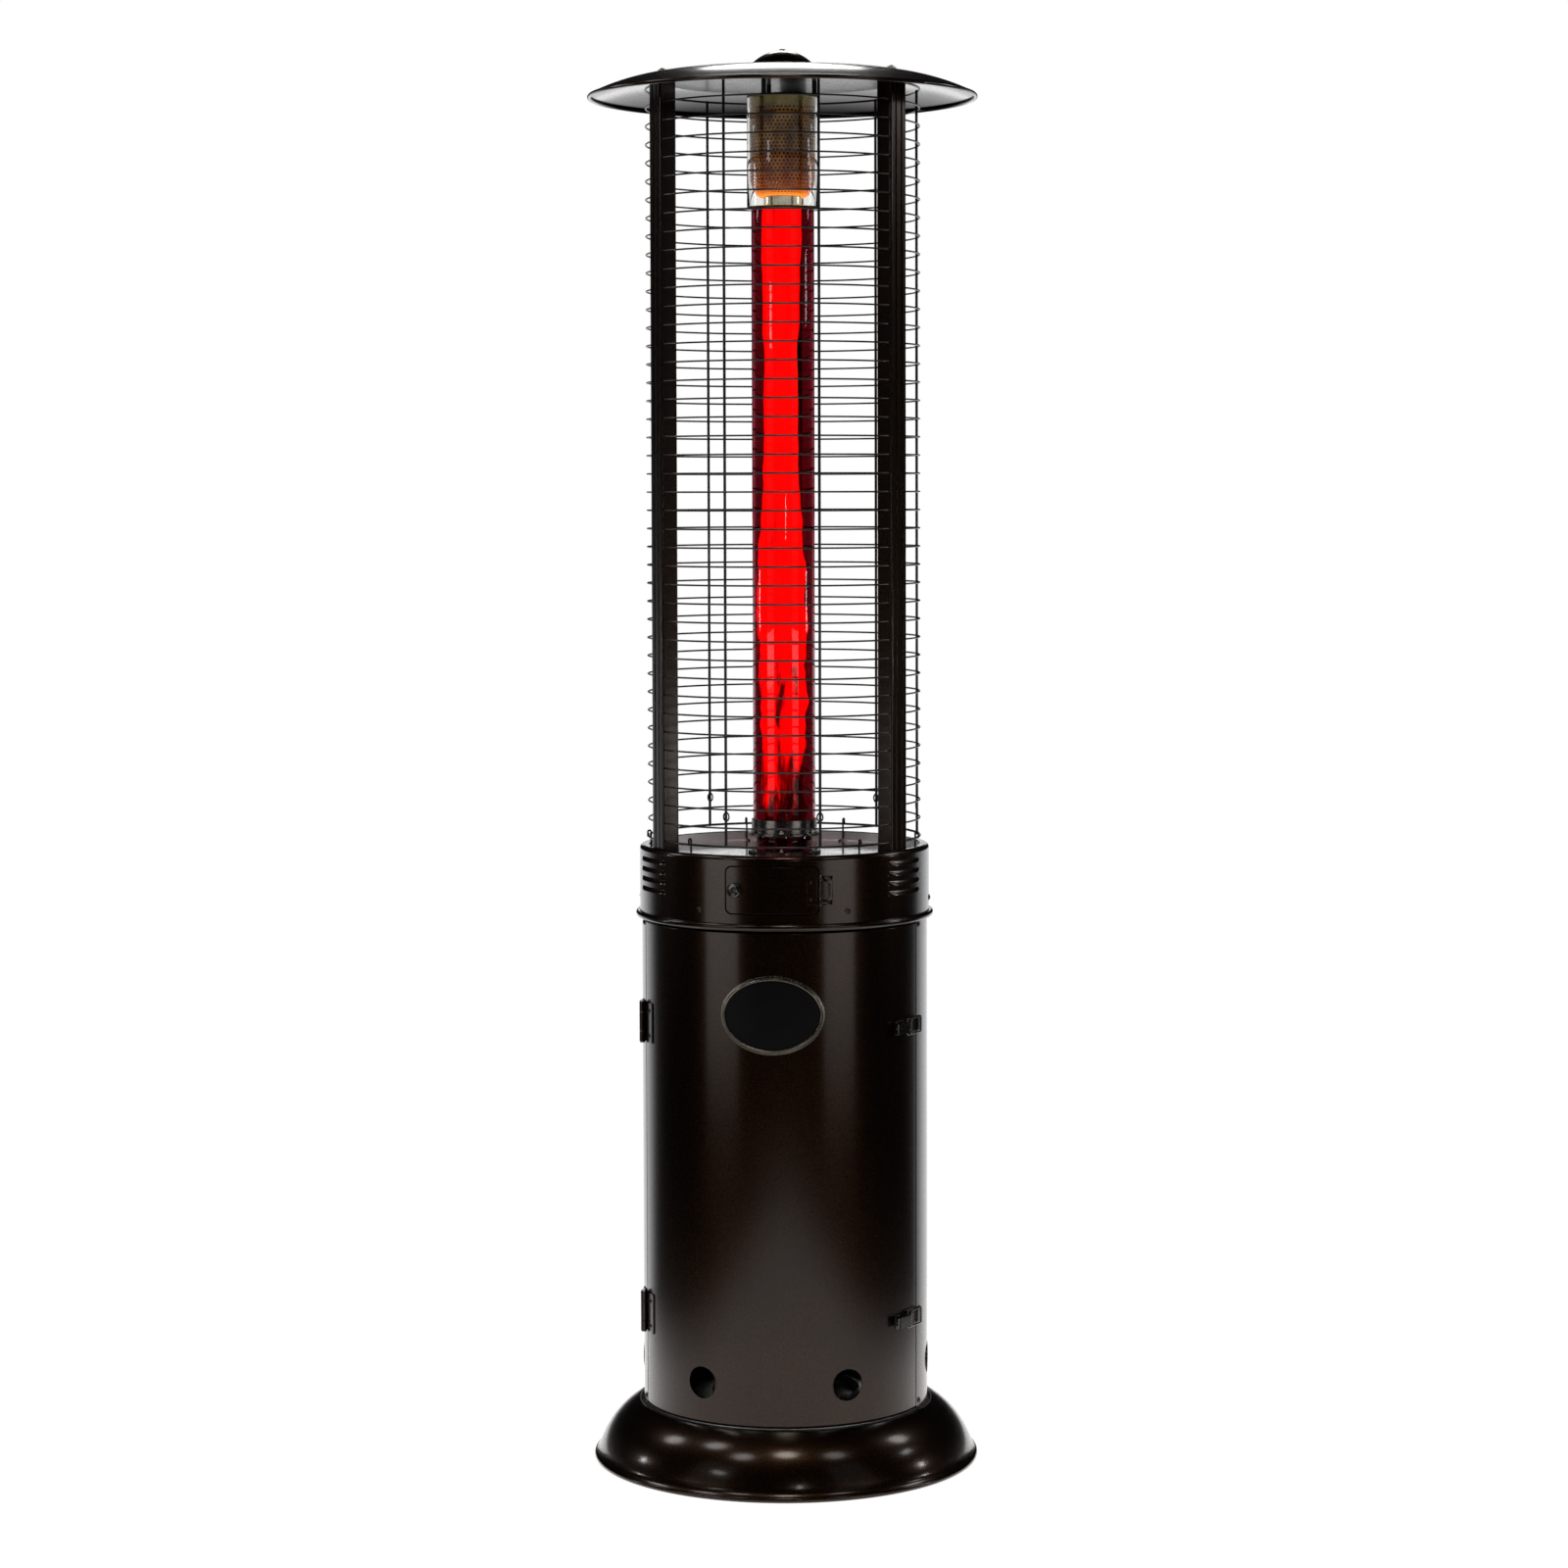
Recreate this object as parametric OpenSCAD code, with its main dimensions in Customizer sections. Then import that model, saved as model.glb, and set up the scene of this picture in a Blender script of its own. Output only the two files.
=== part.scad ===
// Round outdoor gas heater with a caged glass flame tube.
// A dome base carries a gas-bottle cabinet with a hinged door and two draw latches.
// A control collar on the cabinet holds the gas train behind a small hinged door.
// Three posts carry the wire guard, the emitter head and the dish reflector.
// Azimuths are measured from the front (-Y) towards +X.

/* [Overall] */
// Height from the floor to the crown nut
overall_h = 2032; // [2000:1:2060]
// Thickness of the painted sheet steel
sheet = 1.2; // [1:0.1:1.5]

/* [Base] */
// Outer radius of the floor bead
base_r = 279; // [272:1:290]
// Height of the dome's upper edge
base_h = 84; // [78:1:90]
// Radius of the rolled floor bead
bead_r = 4; // [3:0.5:5]
// Thickness of the cast ballast plate
ballast_t = 10; // [6:1:14]

/* [Cabinet] */
// Outer radius of the cabinet wall
cab_r = 206; // [204:1:207]
// Height of the cabinet wall
cab_h = 702; // [680:1:720]
// Diameter of the vent holes
vent_d = 45; // [30:1:55]
// Height of the vent holes above the floor
vent_z = 144; // [130:1:170]
// Height of the upper hinge and latch
upper_z = 641; // [620:1:650]
// Height of the lower hinge and latch
lower_z = 221; // [200:1:240]

/* [Badge] */
// Width of the oval badge
badge_w = 146; // [120:1:160]
// Height of the oval badge
badge_h = 111; // [90:1:120]
// Height of the badge centre above the floor
badge_z = 670; // [600:1:700]

/* [Collar] */
// Outer radius of the control collar
collar_r = 209; // [209:1:211]
// Height of the control collar
collar_h = 105; // [103:1:110]
// Half angle of the control door
hatch_half = 18; // [16:0.5:20]
// Height of the control door
hatch_h = 65; // [55:1:67]

/* [Guard] */
// Radius of the guard rings
guard_r = 195.7; // [194:0.1:197]
// Number of guard rings
guard_rings = 42; // [30:1:46]
// Radius of the ring wire
ring_wire_r = 1.1; // [0.9:0.1:1.4]
// Radius of the upright bars
bar_r = 2; // [1.5:0.1:2.5]

/* [Flame tube] */
// Outer radius of the glass flame tube
tube_r = 45; // [44:0.5:46]
// Wall of the glass flame tube
glass_t = 3.5; // [2.5:0.5:4]
// Outer radius of the upper glass sleeve
sleeve_r = 51; // [51:0.5:53]

/* [Head] */
// Outer radius of the dish reflector
reflector_r = 279; // [270:1:290]
// Radius of the flat crown of the reflector
reflector_flat_r = 150; // [140:1:160]
// Height of the vent cap above the reflector
vent_cap_h = 35; // [30:1:40]

/* [Hidden] */
$fn = 96;
eps = 0.02;
// azimuths of the door edges, the shell edges and the door jambs
door_half = 69.8;
shell_half = 70.4;
jamb_half = 70.8;
// levels
cab_z = base_h + 2;
cab_top = cab_z + cab_h;
door_z0 = cab_z + 2;
door_z1 = cab_top - 2.5;
collar_z = cab_top;
collar_top = collar_z + collar_h;
deck_z = collar_top - 14;
hatch_z = collar_top - 48;
reflector_z = overall_h - vent_cap_h - 3;
guard_z0 = deck_z + 25;
guard_z1 = reflector_z - 21;
guard_pitch = (guard_z1 - guard_z0) / (guard_rings - 1);
// dome of the base
dome_r = 118;
dome_c = base_r - 120;
dome_cz = -21;
dome_low = 18.3;
dome_high = asin((base_h - dome_cz) / dome_r);
plate_z = 3;
bead_flat = 0.5;
// door hinge
hinge_r = cab_r + 5.6;
hinge_az = -70.1;
knuckle_r = 4.4;
pin_r = 2.2;
pin_play = 0.05;
hinge_h = 58;
end_knuckle_h = 15;
knuckle_gap = 0.3;
// draw latch, in a frame on the wall at its own azimuth
latch_az = 59;
strike_az = latch_az + 12.9;
latch_plate = [36, 1.5, 20];
pivot = [13, -6];
bail_pin = [4, -6];
bail_r = 1.2;
bail_half_w = 11.1;
bail_lift = 5.2;
// control hatch hinge
hatch_pin_r = collar_r + 2.4;
hatch_pin_az = hatch_half + 0.7;
hatch_knuckle_r = 2.3;
hatch_hinge_h = 40;
catch_az = -14.6;
// control box behind the hatch
box_front_y = -192;
panel_y = -162;
knob_r = 20;
button_x = -36;
valve_depth = 36.8;
orifice_z = deck_z - 17;
tilt_x = 66;
// posts
post_az = [-60, 60, 180];
post_mid_r = 186.5;
post_w = 39;
post_d = 25;
post_wall = 1.6;
post_top = reflector_z - 5.5;
foot_r = 194.4;
bolt_r = 186;
// flame tube stack
flange_r = 52.6;
throat_r = 40.5;
throat_z = deck_z + 4;
clamp_z = throat_z + 22;
tube_z = clamp_z + 4;
tube_top = reflector_z - 191;
sleeve_z = tube_top + 3;
sleeve_top = reflector_z - 32;
basket_r = 44;
basket_z = sleeve_z + 17;
basket_curve = 14;
// reflector
dish_arc = 288;
dish_low = 90 - asin((reflector_r - 3.2 - reflector_flat_r) / dish_arc);
rim_r = 5;
rim_z = reflector_z - dish_arc * (1 - sin(dish_low)) - 3.6;
shield_z = reflector_z - 9;
cap_dome_r = (55 * 55 + vent_cap_h * vent_cap_h) / (2 * vent_cap_h);
cap_dome_z = reflector_z + vent_cap_h - cap_dome_r;

paint = [0.10, 0.08, 0.07];
paint_dark = [0.06, 0.05, 0.05];
dark_nickel = [0.20, 0.19, 0.19];
zinc = [0.62, 0.62, 0.60];
brass = [0.78, 0.62, 0.30];
copper = [0.72, 0.45, 0.30];
iron = [0.22, 0.22, 0.23];
heat_tint = [0.35, 0.30, 0.16];
emitter_colour = [0.50, 0.30, 0.20];
clear_glass = [0.80, 0.88, 0.92, 0.35];
ceramic = [0.92, 0.90, 0.85];
black_plastic = [0.05, 0.05, 0.05];
button_colour = [0.60, 0.06, 0.05];

// ---- helpers ----

// Sweeps a radius-height profile from one azimuth to another.
module sweep(a0, a1) {
    rotate([0, 0, a0 - 90])
        rotate_extrude(angle = a1 - a0)
            children();
}

// Places a part on the wall: x runs round the wall, -y points outward.
module on_wall(azimuth, r, z) {
    rotate([0, 0, azimuth])
        translate([0, -r, z])
            children();
}

// A profile rectangle from radius r0 to r1 and from height z0 to z1.
module band(r0, r1, z0, z1) {
    translate([r0, z0])
        square([r1 - r0, z1 - z0]);
}

// A strip of an arc in a profile, less than a right angle each side of its middle.
module arc_strip(cx, cz, r, t, a0, a1) {
    intersection() {
        difference() {
            translate([cx, cz])
                circle(r = r);
            translate([cx, cz])
                circle(r = r - t);
        }
        polygon([
            [cx, cz],
            [cx + 2 * r * cos(a0), cz + 2 * r * sin(a0)],
            [cx + 2 * r * cos(a1), cz + 2 * r * sin(a1)]
        ]);
    }
}

// A rectangle with round corners, centred.
module rounded_rect(w, h, r) {
    square([w - 2 * r, h], center = true);
    square([w, h - 2 * r], center = true);
    for (sx = [-1, 1], sy = [-1, 1])
        translate([sx * (w / 2 - r), sy * (h / 2 - r)])
            circle(r = r);
}

function ellipse_points(w, h, n) = [
    for (i = [0:n - 1]) [w / 2 * cos(360 * i / n), h / 2 * sin(360 * i / n)]
];

// A straight rod that points outward from the wall frame.
module outward_rod(r, h) {
    rotate([90, 0, 0])
        cylinder(r = r, h = h);
}

module pan_head_screw() {
    outward_rod(r = 4.4, h = 1);
    translate([0, -1, 0])
        rotate([90, 0, 0])
            cylinder(r1 = 4.4, r2 = 2.6, h = 1.3);
    translate([0, 5, 0])
        outward_rod(r = 1.9, h = 5.5);
}

// ---- base ----

module base_cover() {
    color(paint)
        rotate_extrude() {
            arc_strip(dome_c, dome_cz, dome_r, 1.5, dome_low, dome_high);
            band(cab_r + 4, cab_r + 7.2, base_h - 1.2, base_h);
            band(cab_r + 4, cab_r + 5.2, base_h - 10, base_h);
            band(base_r - 29, base_r - 8.5, plate_z + ballast_t, plate_z + ballast_t + 1.5);
            polygon([
                [base_r - 9.2, 18],
                [base_r - 7.4, 16],
                [base_r - 2.6, 8.2],
                [base_r - 1.6, 4],
                [base_r - 5, 4]
            ]);
            difference() {
                translate([base_r - bead_r, bead_r - bead_flat])
                    circle(r = bead_r);
                band(base_r - 3 * bead_r, base_r + bead_r, -bead_r, 0);
            }
        }
}

module ballast_plate() {
    color(iron)
        translate([0, 0, plate_z])
            cylinder(r = base_r - 17, h = ballast_t);
}

// Raised pan that stands on the ballast and carries the cabinet and the gas bottle.
module cylinder_tray() {
    color(zinc)
        rotate_extrude() {
            band(0, cab_r - 0.2, cab_z - sheet, cab_z);
            band(cab_r - 12, cab_r - 10.8, plate_z + ballast_t, cab_z);
            band(cab_r - 26, cab_r - 10.8, plate_z + ballast_t, plate_z + ballast_t + sheet);
            band(106, 107.2, cab_z, cab_z + 12);
        }
}

// ---- cabinet ----

module vent_holes(azimuths) {
    for (a = azimuths)
        on_wall(a, cab_r - 20, vent_z)
            outward_rod(r = vent_d / 2, h = 30);
}

module cabinet_shell() {
    color(paint)
        difference() {
            sweep(shell_half, 360 - shell_half)
                band(cab_r - sheet, cab_r, cab_z, cab_top);
            vent_holes([90, 150, 210, 270]);
        }
}

module door_jamb() {
    sweep(jamb_half, jamb_half + 0.4)
        band(cab_r - 18, cab_r - sheet, cab_z, cab_top);
    sweep(jamb_half, jamb_half + 6)
        band(cab_r - 2 * sheet, cab_r - sheet, cab_z, cab_top);
}

module door_jambs() {
    color(paint) {
        door_jamb();
        mirror([1, 0, 0])
            door_jamb();
    }
}

module sheet_screws() {
    color(paint_dark) {
        for (a = [-73, 73], z = [cab_z + 9, cab_top - 5])
            on_wall(a, cab_r, z)
                pan_head_screw();
        for (a = [-30, 30, -90, 90, -150, 150])
            on_wall(a, collar_r, collar_z + 27)
                pan_head_screw();
    }
}

module cabinet_door() {
    color(paint)
        difference() {
            union() {
                sweep(-door_half, door_half)
                    band(cab_r - sheet, cab_r, door_z0, door_z1);
                sweep(-door_half, door_half)
                    band(cab_r - 10, cab_r - sheet, door_z0, door_z0 + sheet);
                sweep(-door_half, door_half)
                    band(cab_r - 10, cab_r - sheet, door_z1 - sheet, door_z1);
                for (a = [-door_half, door_half - 0.4])
                    sweep(a, a + 0.4)
                        band(cab_r - 13, cab_r - sheet, door_z0, door_z1);
            }
            vent_holes([-30, 30]);
        }
}

// ---- badge ----

module oval_prism(w, h) {
    translate([0, -cab_r + 20, badge_z])
        rotate([90, 0, 0])
            linear_extrude(height = 30)
                polygon(ellipse_points(w, h, 64));
}

module badge_frame() {
    color(paint_dark)
        intersection() {
            sweep(-30, 30)
                band(cab_r, cab_r + 3.4, badge_z - 80, badge_z + 80);
            difference() {
                oval_prism(badge_w, badge_h);
                oval_prism(badge_w - 12, badge_h - 12);
            }
        }
}

module badge_plate() {
    color(paint_dark)
        intersection() {
            sweep(-30, 30)
                band(cab_r, cab_r + 1.2, badge_z - 80, badge_z + 80);
            oval_prism(badge_w - 12.4, badge_h - 12.4);
        }
}

// ---- door hinges ----

module knuckle(h) {
    translate([0, 0, -h / 2])
        difference() {
            cylinder(r = knuckle_r, h = h);
            translate([0, 0, -1])
                cylinder(r = pin_r + pin_play, h = h + 2);
        }
}

module fixed_leaf(z) {
    leaf_r = cab_r + 1.8;
    strip_h = end_knuckle_h - 1;
    sweep(hinge_az - 8.6, hinge_az - 1.8)
        band(cab_r, leaf_r, z - hinge_h / 2, z + hinge_h / 2);
    for (s = [-1, 1]) {
        knuckle_z = z + s * (hinge_h - end_knuckle_h) / 2;
        sweep(hinge_az - 2, hinge_az - 0.35)
            band(cab_r, leaf_r, knuckle_z - strip_h / 2, knuckle_z + strip_h / 2);
        on_wall(hinge_az, hinge_r, knuckle_z)
            knuckle(end_knuckle_h);
    }
}

module moving_leaf(z) {
    mid_h = hinge_h - 2 * end_knuckle_h - 2 * knuckle_gap;
    sweep(hinge_az + 1.8, hinge_az + 9)
        band(cab_r, cab_r + 1.8, z - hinge_h / 2, z + hinge_h / 2);
    sweep(hinge_az + 0.35, hinge_az + 2)
        band(cab_r, cab_r + 1.8, z - mid_h / 2, z + mid_h / 2);
    on_wall(hinge_az, hinge_r, z)
        knuckle(mid_h);
}

module fixed_hinge_leaves() {
    color(paint)
        for (z = [upper_z, lower_z])
            fixed_leaf(z);
}

module door_hinge_leaves() {
    color(paint)
        for (z = [upper_z, lower_z])
            moving_leaf(z);
}

module hinge_pins() {
    color(zinc) {
        for (z = [upper_z, lower_z])
            on_wall(hinge_az, hinge_r, z - hinge_h / 2 - 1.5) {
                cylinder(r = pin_r, h = hinge_h + 3);
                cylinder(r = 3.4, h = 1.5);
                translate([0, 0, hinge_h + 1.5])
                    cylinder(r = 3.4, h = 1.5);
            }
        on_wall(hatch_pin_az, hatch_pin_r, hatch_z - hatch_hinge_h / 2 - 1)
            cylinder(r = 1, h = hatch_hinge_h + 2);
    }
}

// ---- draw latches ----

module latch_base(z) {
    on_wall(latch_az, cab_r, z) {
        translate([-latch_plate[0] / 2, -latch_plate[1], -latch_plate[2] / 2])
            cube(latch_plate);
        for (s = [-1, 1])
            translate([0, 0, s * 8.75 - 0.75]) {
                translate([9, -6, 0])
                    cube([7, 5, 1.5]);
                translate([pivot[0], pivot[1], 0])
                    cylinder(r = 3, h = 1.5);
            }
        translate([pivot[0], pivot[1], -9.5])
            cylinder(r = 1.5, h = 19);
    }
}

module latch_bases() {
    color(dark_nickel)
        for (z = [upper_z, lower_z])
            latch_base(z);
}

module latch_lever(z) {
    color(dark_nickel)
        on_wall(latch_az, cab_r, z)
            difference() {
                union() {
                    translate([-22, -8.8, -7.7])
                        cube([29, 1.5, 15.4]);
                    translate([-23, -10, -7.7])
                        cylinder(r = 2, h = 15.4);
                    for (s = [-1, 1])
                        translate([0, 0, s * 6.95 - 0.75]) {
                            translate([-12, -7.8, 0])
                                cube([pivot[0] + 12, 4.6, 1.5]);
                            translate([pivot[0], pivot[1], 0])
                                cylinder(r = 2.8, h = 1.5);
                        }
                }
                translate([pivot[0], pivot[1], -10])
                    cylinder(r = 1.5 + pin_play, h = 20);
                translate([bail_pin[0], bail_pin[1], -10])
                    cylinder(r = bail_r + pin_play, h = 20);
            }
}

// Wire loop from the lever to the strike.
module latch_bail(z) {
    reach = strike_az - latch_az;
    bar_x = cab_r * sin(reach) + bail_lift * sin(reach);
    bar_y = cab_r - (cab_r + bail_lift) * cos(reach);
    run = norm([bar_x - bail_pin[0], bar_y - bail_pin[1]]);
    tilt = atan2(bar_y - bail_pin[1], bar_x - bail_pin[0]);
    color(dark_nickel)
        on_wall(latch_az, cab_r, z)
            translate([bail_pin[0], bail_pin[1], 0])
                rotate([0, 0, tilt])
                    for (x = [0, run])
                        translate([x, 0, 0]) {
                            translate([0, 0, -bail_half_w])
                                cylinder(r = bail_r, h = 2 * bail_half_w);
                            for (s = [-1, 1])
                                translate([0, 0, s * bail_half_w])
                                    sphere(r = bail_r);
                            if (x == 0)
                                for (s = [-1, 1])
                                    translate([0, 0, s * bail_half_w])
                                        rotate([0, 90, 0])
                                            cylinder(r = bail_r, h = run);
                        }
}

module latch_strike(z) {
    on_wall(strike_az, cab_r, z) {
        translate([-4.5, -1.4, -11])
            cube([14, 1.4, 22]);
        translate([-1, -3.4, -9])
            cube([1.6, 2.2, 18]);
        translate([-0.2, -3.2, -9])
            cylinder(r = 0.8, h = 18);
    }
}

module latch_strikes() {
    color(dark_nickel)
        for (z = [upper_z, lower_z])
            latch_strike(z);
}

// ---- control collar ----

module hatch_prism(w, h, r) {
    translate([0, -collar_r + 12.1, hatch_z])
        rotate([90, 0, 0])
            linear_extrude(height = 20)
                rounded_rect(w, h, r);
}

module collar() {
    color(paint)
        difference() {
            rotate_extrude() {
                band(collar_r - sheet, collar_r, collar_z, collar_top - 11);
                arc_strip(collar_r - 11, collar_top - 11, 11, sheet, 0, 90);
                band(collar_r - 13.4, collar_r - 11, collar_top - sheet, collar_top);
                band(collar_r - 13.4, collar_r - 12.2, deck_z - 2.4, collar_top);
                band(collar_r - 19, collar_r - 12.2, deck_z - 2.4, deck_z - 1.2);
                band(collar_r - 19, collar_r, collar_z, collar_z + sheet);
            }
            hatch_prism(2 * collar_r * sin(hatch_half) + 2, hatch_h + 2, 9);
            for (a = [-60, 60, 180], i = [0:3])
                sweep(a - 11.5, a + 11.5)
                    band(collar_r - 5, collar_r + 5, deck_z - 4.5 - 14 * i, deck_z - 1.5 - 14 * i);
        }
}

module collar_bead() {
    color(paint)
        rotate_extrude()
            difference() {
                translate([collar_r + 1.5, collar_z + 5.5])
                    circle(r = 4.5);
                band(0, collar_r, collar_z - 5, collar_z + 15);
            }
}

// Polished reflecting deck inside the top of the collar.
module deck() {
    color(dark_nickel)
        difference() {
            translate([0, 0, deck_z - 1.2])
                cylinder(r = collar_r - 13.4 - eps, h = 1.2);
            translate([0, 0, deck_z - 5])
                cylinder(r = 13, h = 10);
            for (p = [[10, -30], [-10, -30], [-24, -20]])
                translate([p[0], p[1], deck_z - 5])
                    cylinder(r = 3.6, h = 10);
        }
}

module control_box() {
    w = 132;
    z0 = hatch_z - 38;
    h = deck_z - 2.4 - z0;
    color(paint_dark)
        difference() {
            translate([-w / 2, box_front_y, z0])
                cube([w, panel_y + sheet - box_front_y, h]);
            translate([-w / 2 + sheet, box_front_y - 1, z0 + sheet])
                cube([w - 2 * sheet, panel_y - box_front_y + 1, h - 2 * sheet]);
            translate([0, panel_y + 5, hatch_z])
                outward_rod(r = 5.2, h = 10);
            translate([button_x, panel_y + 5, hatch_z])
                outward_rod(r = 9.1, h = 10);
        }
}

// ---- control hatch ----

module hatch_knuckle(z, h) {
    on_wall(hatch_pin_az, hatch_pin_r, z - h / 2)
        difference() {
            cylinder(r = hatch_knuckle_r, h = h);
            translate([0, 0, -1])
                cylinder(r = 1 + pin_play, h = h + 2);
        }
}

module hatch_hinge_leaf() {
    color(paint)
        for (s = [-1, 1]) {
            hatch_knuckle(hatch_z + s * 15, 10);
            sweep(hatch_pin_az + 0.25, hatch_pin_az + 5)
                band(collar_r, collar_r + 1.1, hatch_z + s * 15 - 5, hatch_z + s * 15 + 5);
            on_wall(hatch_pin_az + 3.6, collar_r + 1, hatch_z + s * 12)
                outward_rod(r = 2.2, h = 1.2);
            sweep(hatch_pin_az + 1.2, hatch_pin_az + 5)
                band(collar_r, collar_r + 1.1, hatch_z + min(0, s * 11), hatch_z + max(0, s * 11));
        }
}

module control_hatch() {
    color(paint) {
        difference() {
            intersection() {
                sweep(-25, 25)
                    band(collar_r - sheet, collar_r, hatch_z - 60, hatch_z + 60);
                hatch_prism(2 * collar_r * sin(hatch_half), hatch_h, 8);
            }
            on_wall(catch_az, collar_r - 10, hatch_z)
                outward_rod(r = 3 + pin_play, h = 20);
        }
        hatch_knuckle(hatch_z, 19.4);
        sweep(hatch_pin_az - 5, hatch_pin_az - 1.2)
            band(collar_r, collar_r + 1.1, hatch_z - hatch_hinge_h / 2, hatch_z + hatch_hinge_h / 2);
        sweep(hatch_pin_az - 1.3, hatch_pin_az - 0.25)
            band(collar_r, collar_r + 1.1, hatch_z - 9.7, hatch_z + 9.7);
        for (s = [-1, 1])
            on_wall(hatch_pin_az - 3.6, collar_r + 1, hatch_z + s * 12)
                outward_rod(r = 2.2, h = 1.2);
    }
}

// Quarter-turn catch: a round knob outside, a shaft through the hatch and a tongue inside.
module hatch_catch() {
    color(dark_nickel)
        on_wall(catch_az, collar_r, hatch_z) {
            translate([0, -0.5, 0])
                outward_rod(r = 10.5, h = 2);
            translate([0, -2.5, 0])
                rotate([90, 0, 0])
                    cylinder(r1 = 10.5, r2 = 8, h = 2.5);
            translate([0, 4.5, 0])
                outward_rod(r = 3, h = 6);
            translate([-4, 2.6, -4])
                cube([8, 2, 20]);
        }
}

// ---- gas train ----

module gas_valve() {
    color(brass)
        difference() {
            translate([-20, panel_y + sheet, hatch_z - 19])
                cube([40, valve_depth, 38]);
            translate([0, panel_y + 16, hatch_z])
                outward_rod(r = 4 + pin_play, h = 20);
        }
}

module valve_stem() {
    color(brass)
        translate([0, panel_y + 12, hatch_z])
            outward_rod(r = 4, h = 34);
}

module gas_knob() {
    color(black_plastic)
        translate([0, panel_y - 6, hatch_z])
            difference() {
                union() {
                    outward_rod(r = knob_r, h = 4);
                    translate([0, -4, 0])
                        rotate([90, 0, 0])
                            cylinder(r1 = 17.5, r2 = 15.5, h = 16);
                    translate([-3.5, -25, -15])
                        cube([7, 6, 30]);
                }
                translate([0, 1, 0])
                    outward_rod(r = 4 + pin_play, h = 17.5);
                for (i = [0:11])
                    rotate([0, 30 * i + 15, 0])
                        translate([0, -4.5, 18.5])
                            outward_rod(r = 2.6, h = 20);
            }
}

module gas_inlet() {
    color(brass)
        translate([0, panel_y + 20, 0])
            difference() {
                union() {
                    translate([0, 0, hatch_z - 27])
                        cylinder(r = 11, h = 8, $fn = 6);
                    translate([0, 0, hatch_z - 47])
                        cylinder(r = 7.9, h = 20);
                }
                translate([0, 0, hatch_z - 48])
                    cylinder(r = 3, h = 20);
            }
}

module gas_pipe() {
    bend = 16;
    back_y = panel_y + sheet + valve_depth;
    color(copper) {
        translate([0, -bend, hatch_z])
            outward_rod(r = 4, h = -bend - back_y);
        translate([0, -bend, hatch_z + bend])
            rotate([90, 0, 90])
                rotate([0, 0, -90])
                    rotate_extrude(angle = 90)
                        translate([bend, 0])
                            circle(r = 4);
        translate([0, 0, hatch_z + bend])
            cylinder(r = 4, h = orifice_z - hatch_z - bend);
    }
}

module orifice_holder() {
    color(brass) {
        translate([0, 0, orifice_z])
            cylinder(r = 8, h = 14);
        translate([0, 0, orifice_z + 2])
            cylinder(r = 10, h = 7, $fn = 6);
    }
}

module burner_cup() {
    z = orifice_z + 14;
    color(iron)
        rotate_extrude() {
            band(5, 12, z, z + 9);
            band(0, 24, z + 8, z + 11);
            band(22.5, 24, z + 10, z + 22);
        }
}

// A small line that leaves the back of the valve and rises beside the burner.
module riser(x, y0, y1, z0, z1, r) {
    translate([x, y1, z0])
        outward_rod(r = r, h = y1 - y0);
    translate([x, y1, z0])
        sphere(r = r);
    translate([x, y1, z0])
        cylinder(r = r, h = z1 - z0);
}

module pilot_tube() {
    color(copper)
        riser(10, panel_y + sheet + valve_depth, -30, hatch_z + 8, deck_z + 6, 2);
    color(zinc)
        translate([10, -30, deck_z + 5])
            cylinder(r = 3.4, h = 15);
}

module thermocouple() {
    color(copper)
        riser(-10, panel_y + sheet + valve_depth, -30, hatch_z + 8, deck_z + 6, 1.4);
    color(zinc)
        translate([-10, -30, deck_z + 5])
            cylinder(r = 2.4, h = 20);
}

module spark_electrode() {
    lead_r = 1.3;
    color(ceramic)
        translate([-24, -20, deck_z - 12])
            cylinder(r = 3, h = 25);
    color(zinc)
        translate([-24, -20, deck_z + 12])
            cylinder(r = 0.8, h = 10);
    color(black_plastic) {
        translate([button_x, -20, hatch_z])
            outward_rod(r = lead_r, h = -20 - panel_y - 37);
        translate([button_x, -20, hatch_z])
            sphere(r = lead_r);
        translate([button_x, -20, hatch_z])
            rotate([0, 90, 0])
                cylinder(r = lead_r, h = -24 - button_x);
        translate([-24, -20, hatch_z])
            sphere(r = lead_r);
        translate([-24, -20, hatch_z])
            cylinder(r = lead_r, h = deck_z - 11.5 - hatch_z);
    }
}

module igniter_body() {
    color(black_plastic)
        translate([button_x, panel_y, hatch_z])
            difference() {
                union() {
                    outward_rod(r = 11.5, h = 3);
                    translate([0, 37, 0])
                        outward_rod(r = 9, h = 37.5);
                }
                translate([0, 22, 0])
                    outward_rod(r = 7.6, h = 30);
            }
}

module igniter_button() {
    color(button_colour)
        translate([button_x, panel_y + 14, hatch_z]) {
            outward_rod(r = 7.5, h = 22);
            translate([0, -22, 0])
                rotate([90, 0, 0])
                    cylinder(r1 = 7.5, r2 = 6.3, h = 1.2);
        }
}

// ---- tilt switch ----

module tilt_switch_case() {
    color(black_plastic)
        translate([tilt_x, -186, hatch_z - 28]) {
            difference() {
                cube([24, 26, 40]);
                translate([1.5, 1.5, 1.5])
                    cube([21, 23, 37]);
            }
            translate([1, 13, 34])
                rotate([0, 90, 0])
                    cylinder(r = 1, h = 22);
        }
}

module tilt_pendulum() {
    color(zinc)
        translate([tilt_x, -186, hatch_z - 28])
            difference() {
                union() {
                    translate([9.5, 13, 34])
                        rotate([0, 90, 0])
                            cylinder(r = 2.5, h = 5);
                    translate([12, 13, 10])
                        cylinder(r = 1.1, h = 22.5);
                    translate([12, 13, 11])
                        sphere(r = 5);
                }
                translate([0, 13, 34])
                    rotate([0, 90, 0])
                        cylinder(r = 1 + pin_play, h = 24);
            }
}

// ---- flame tube ----

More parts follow.
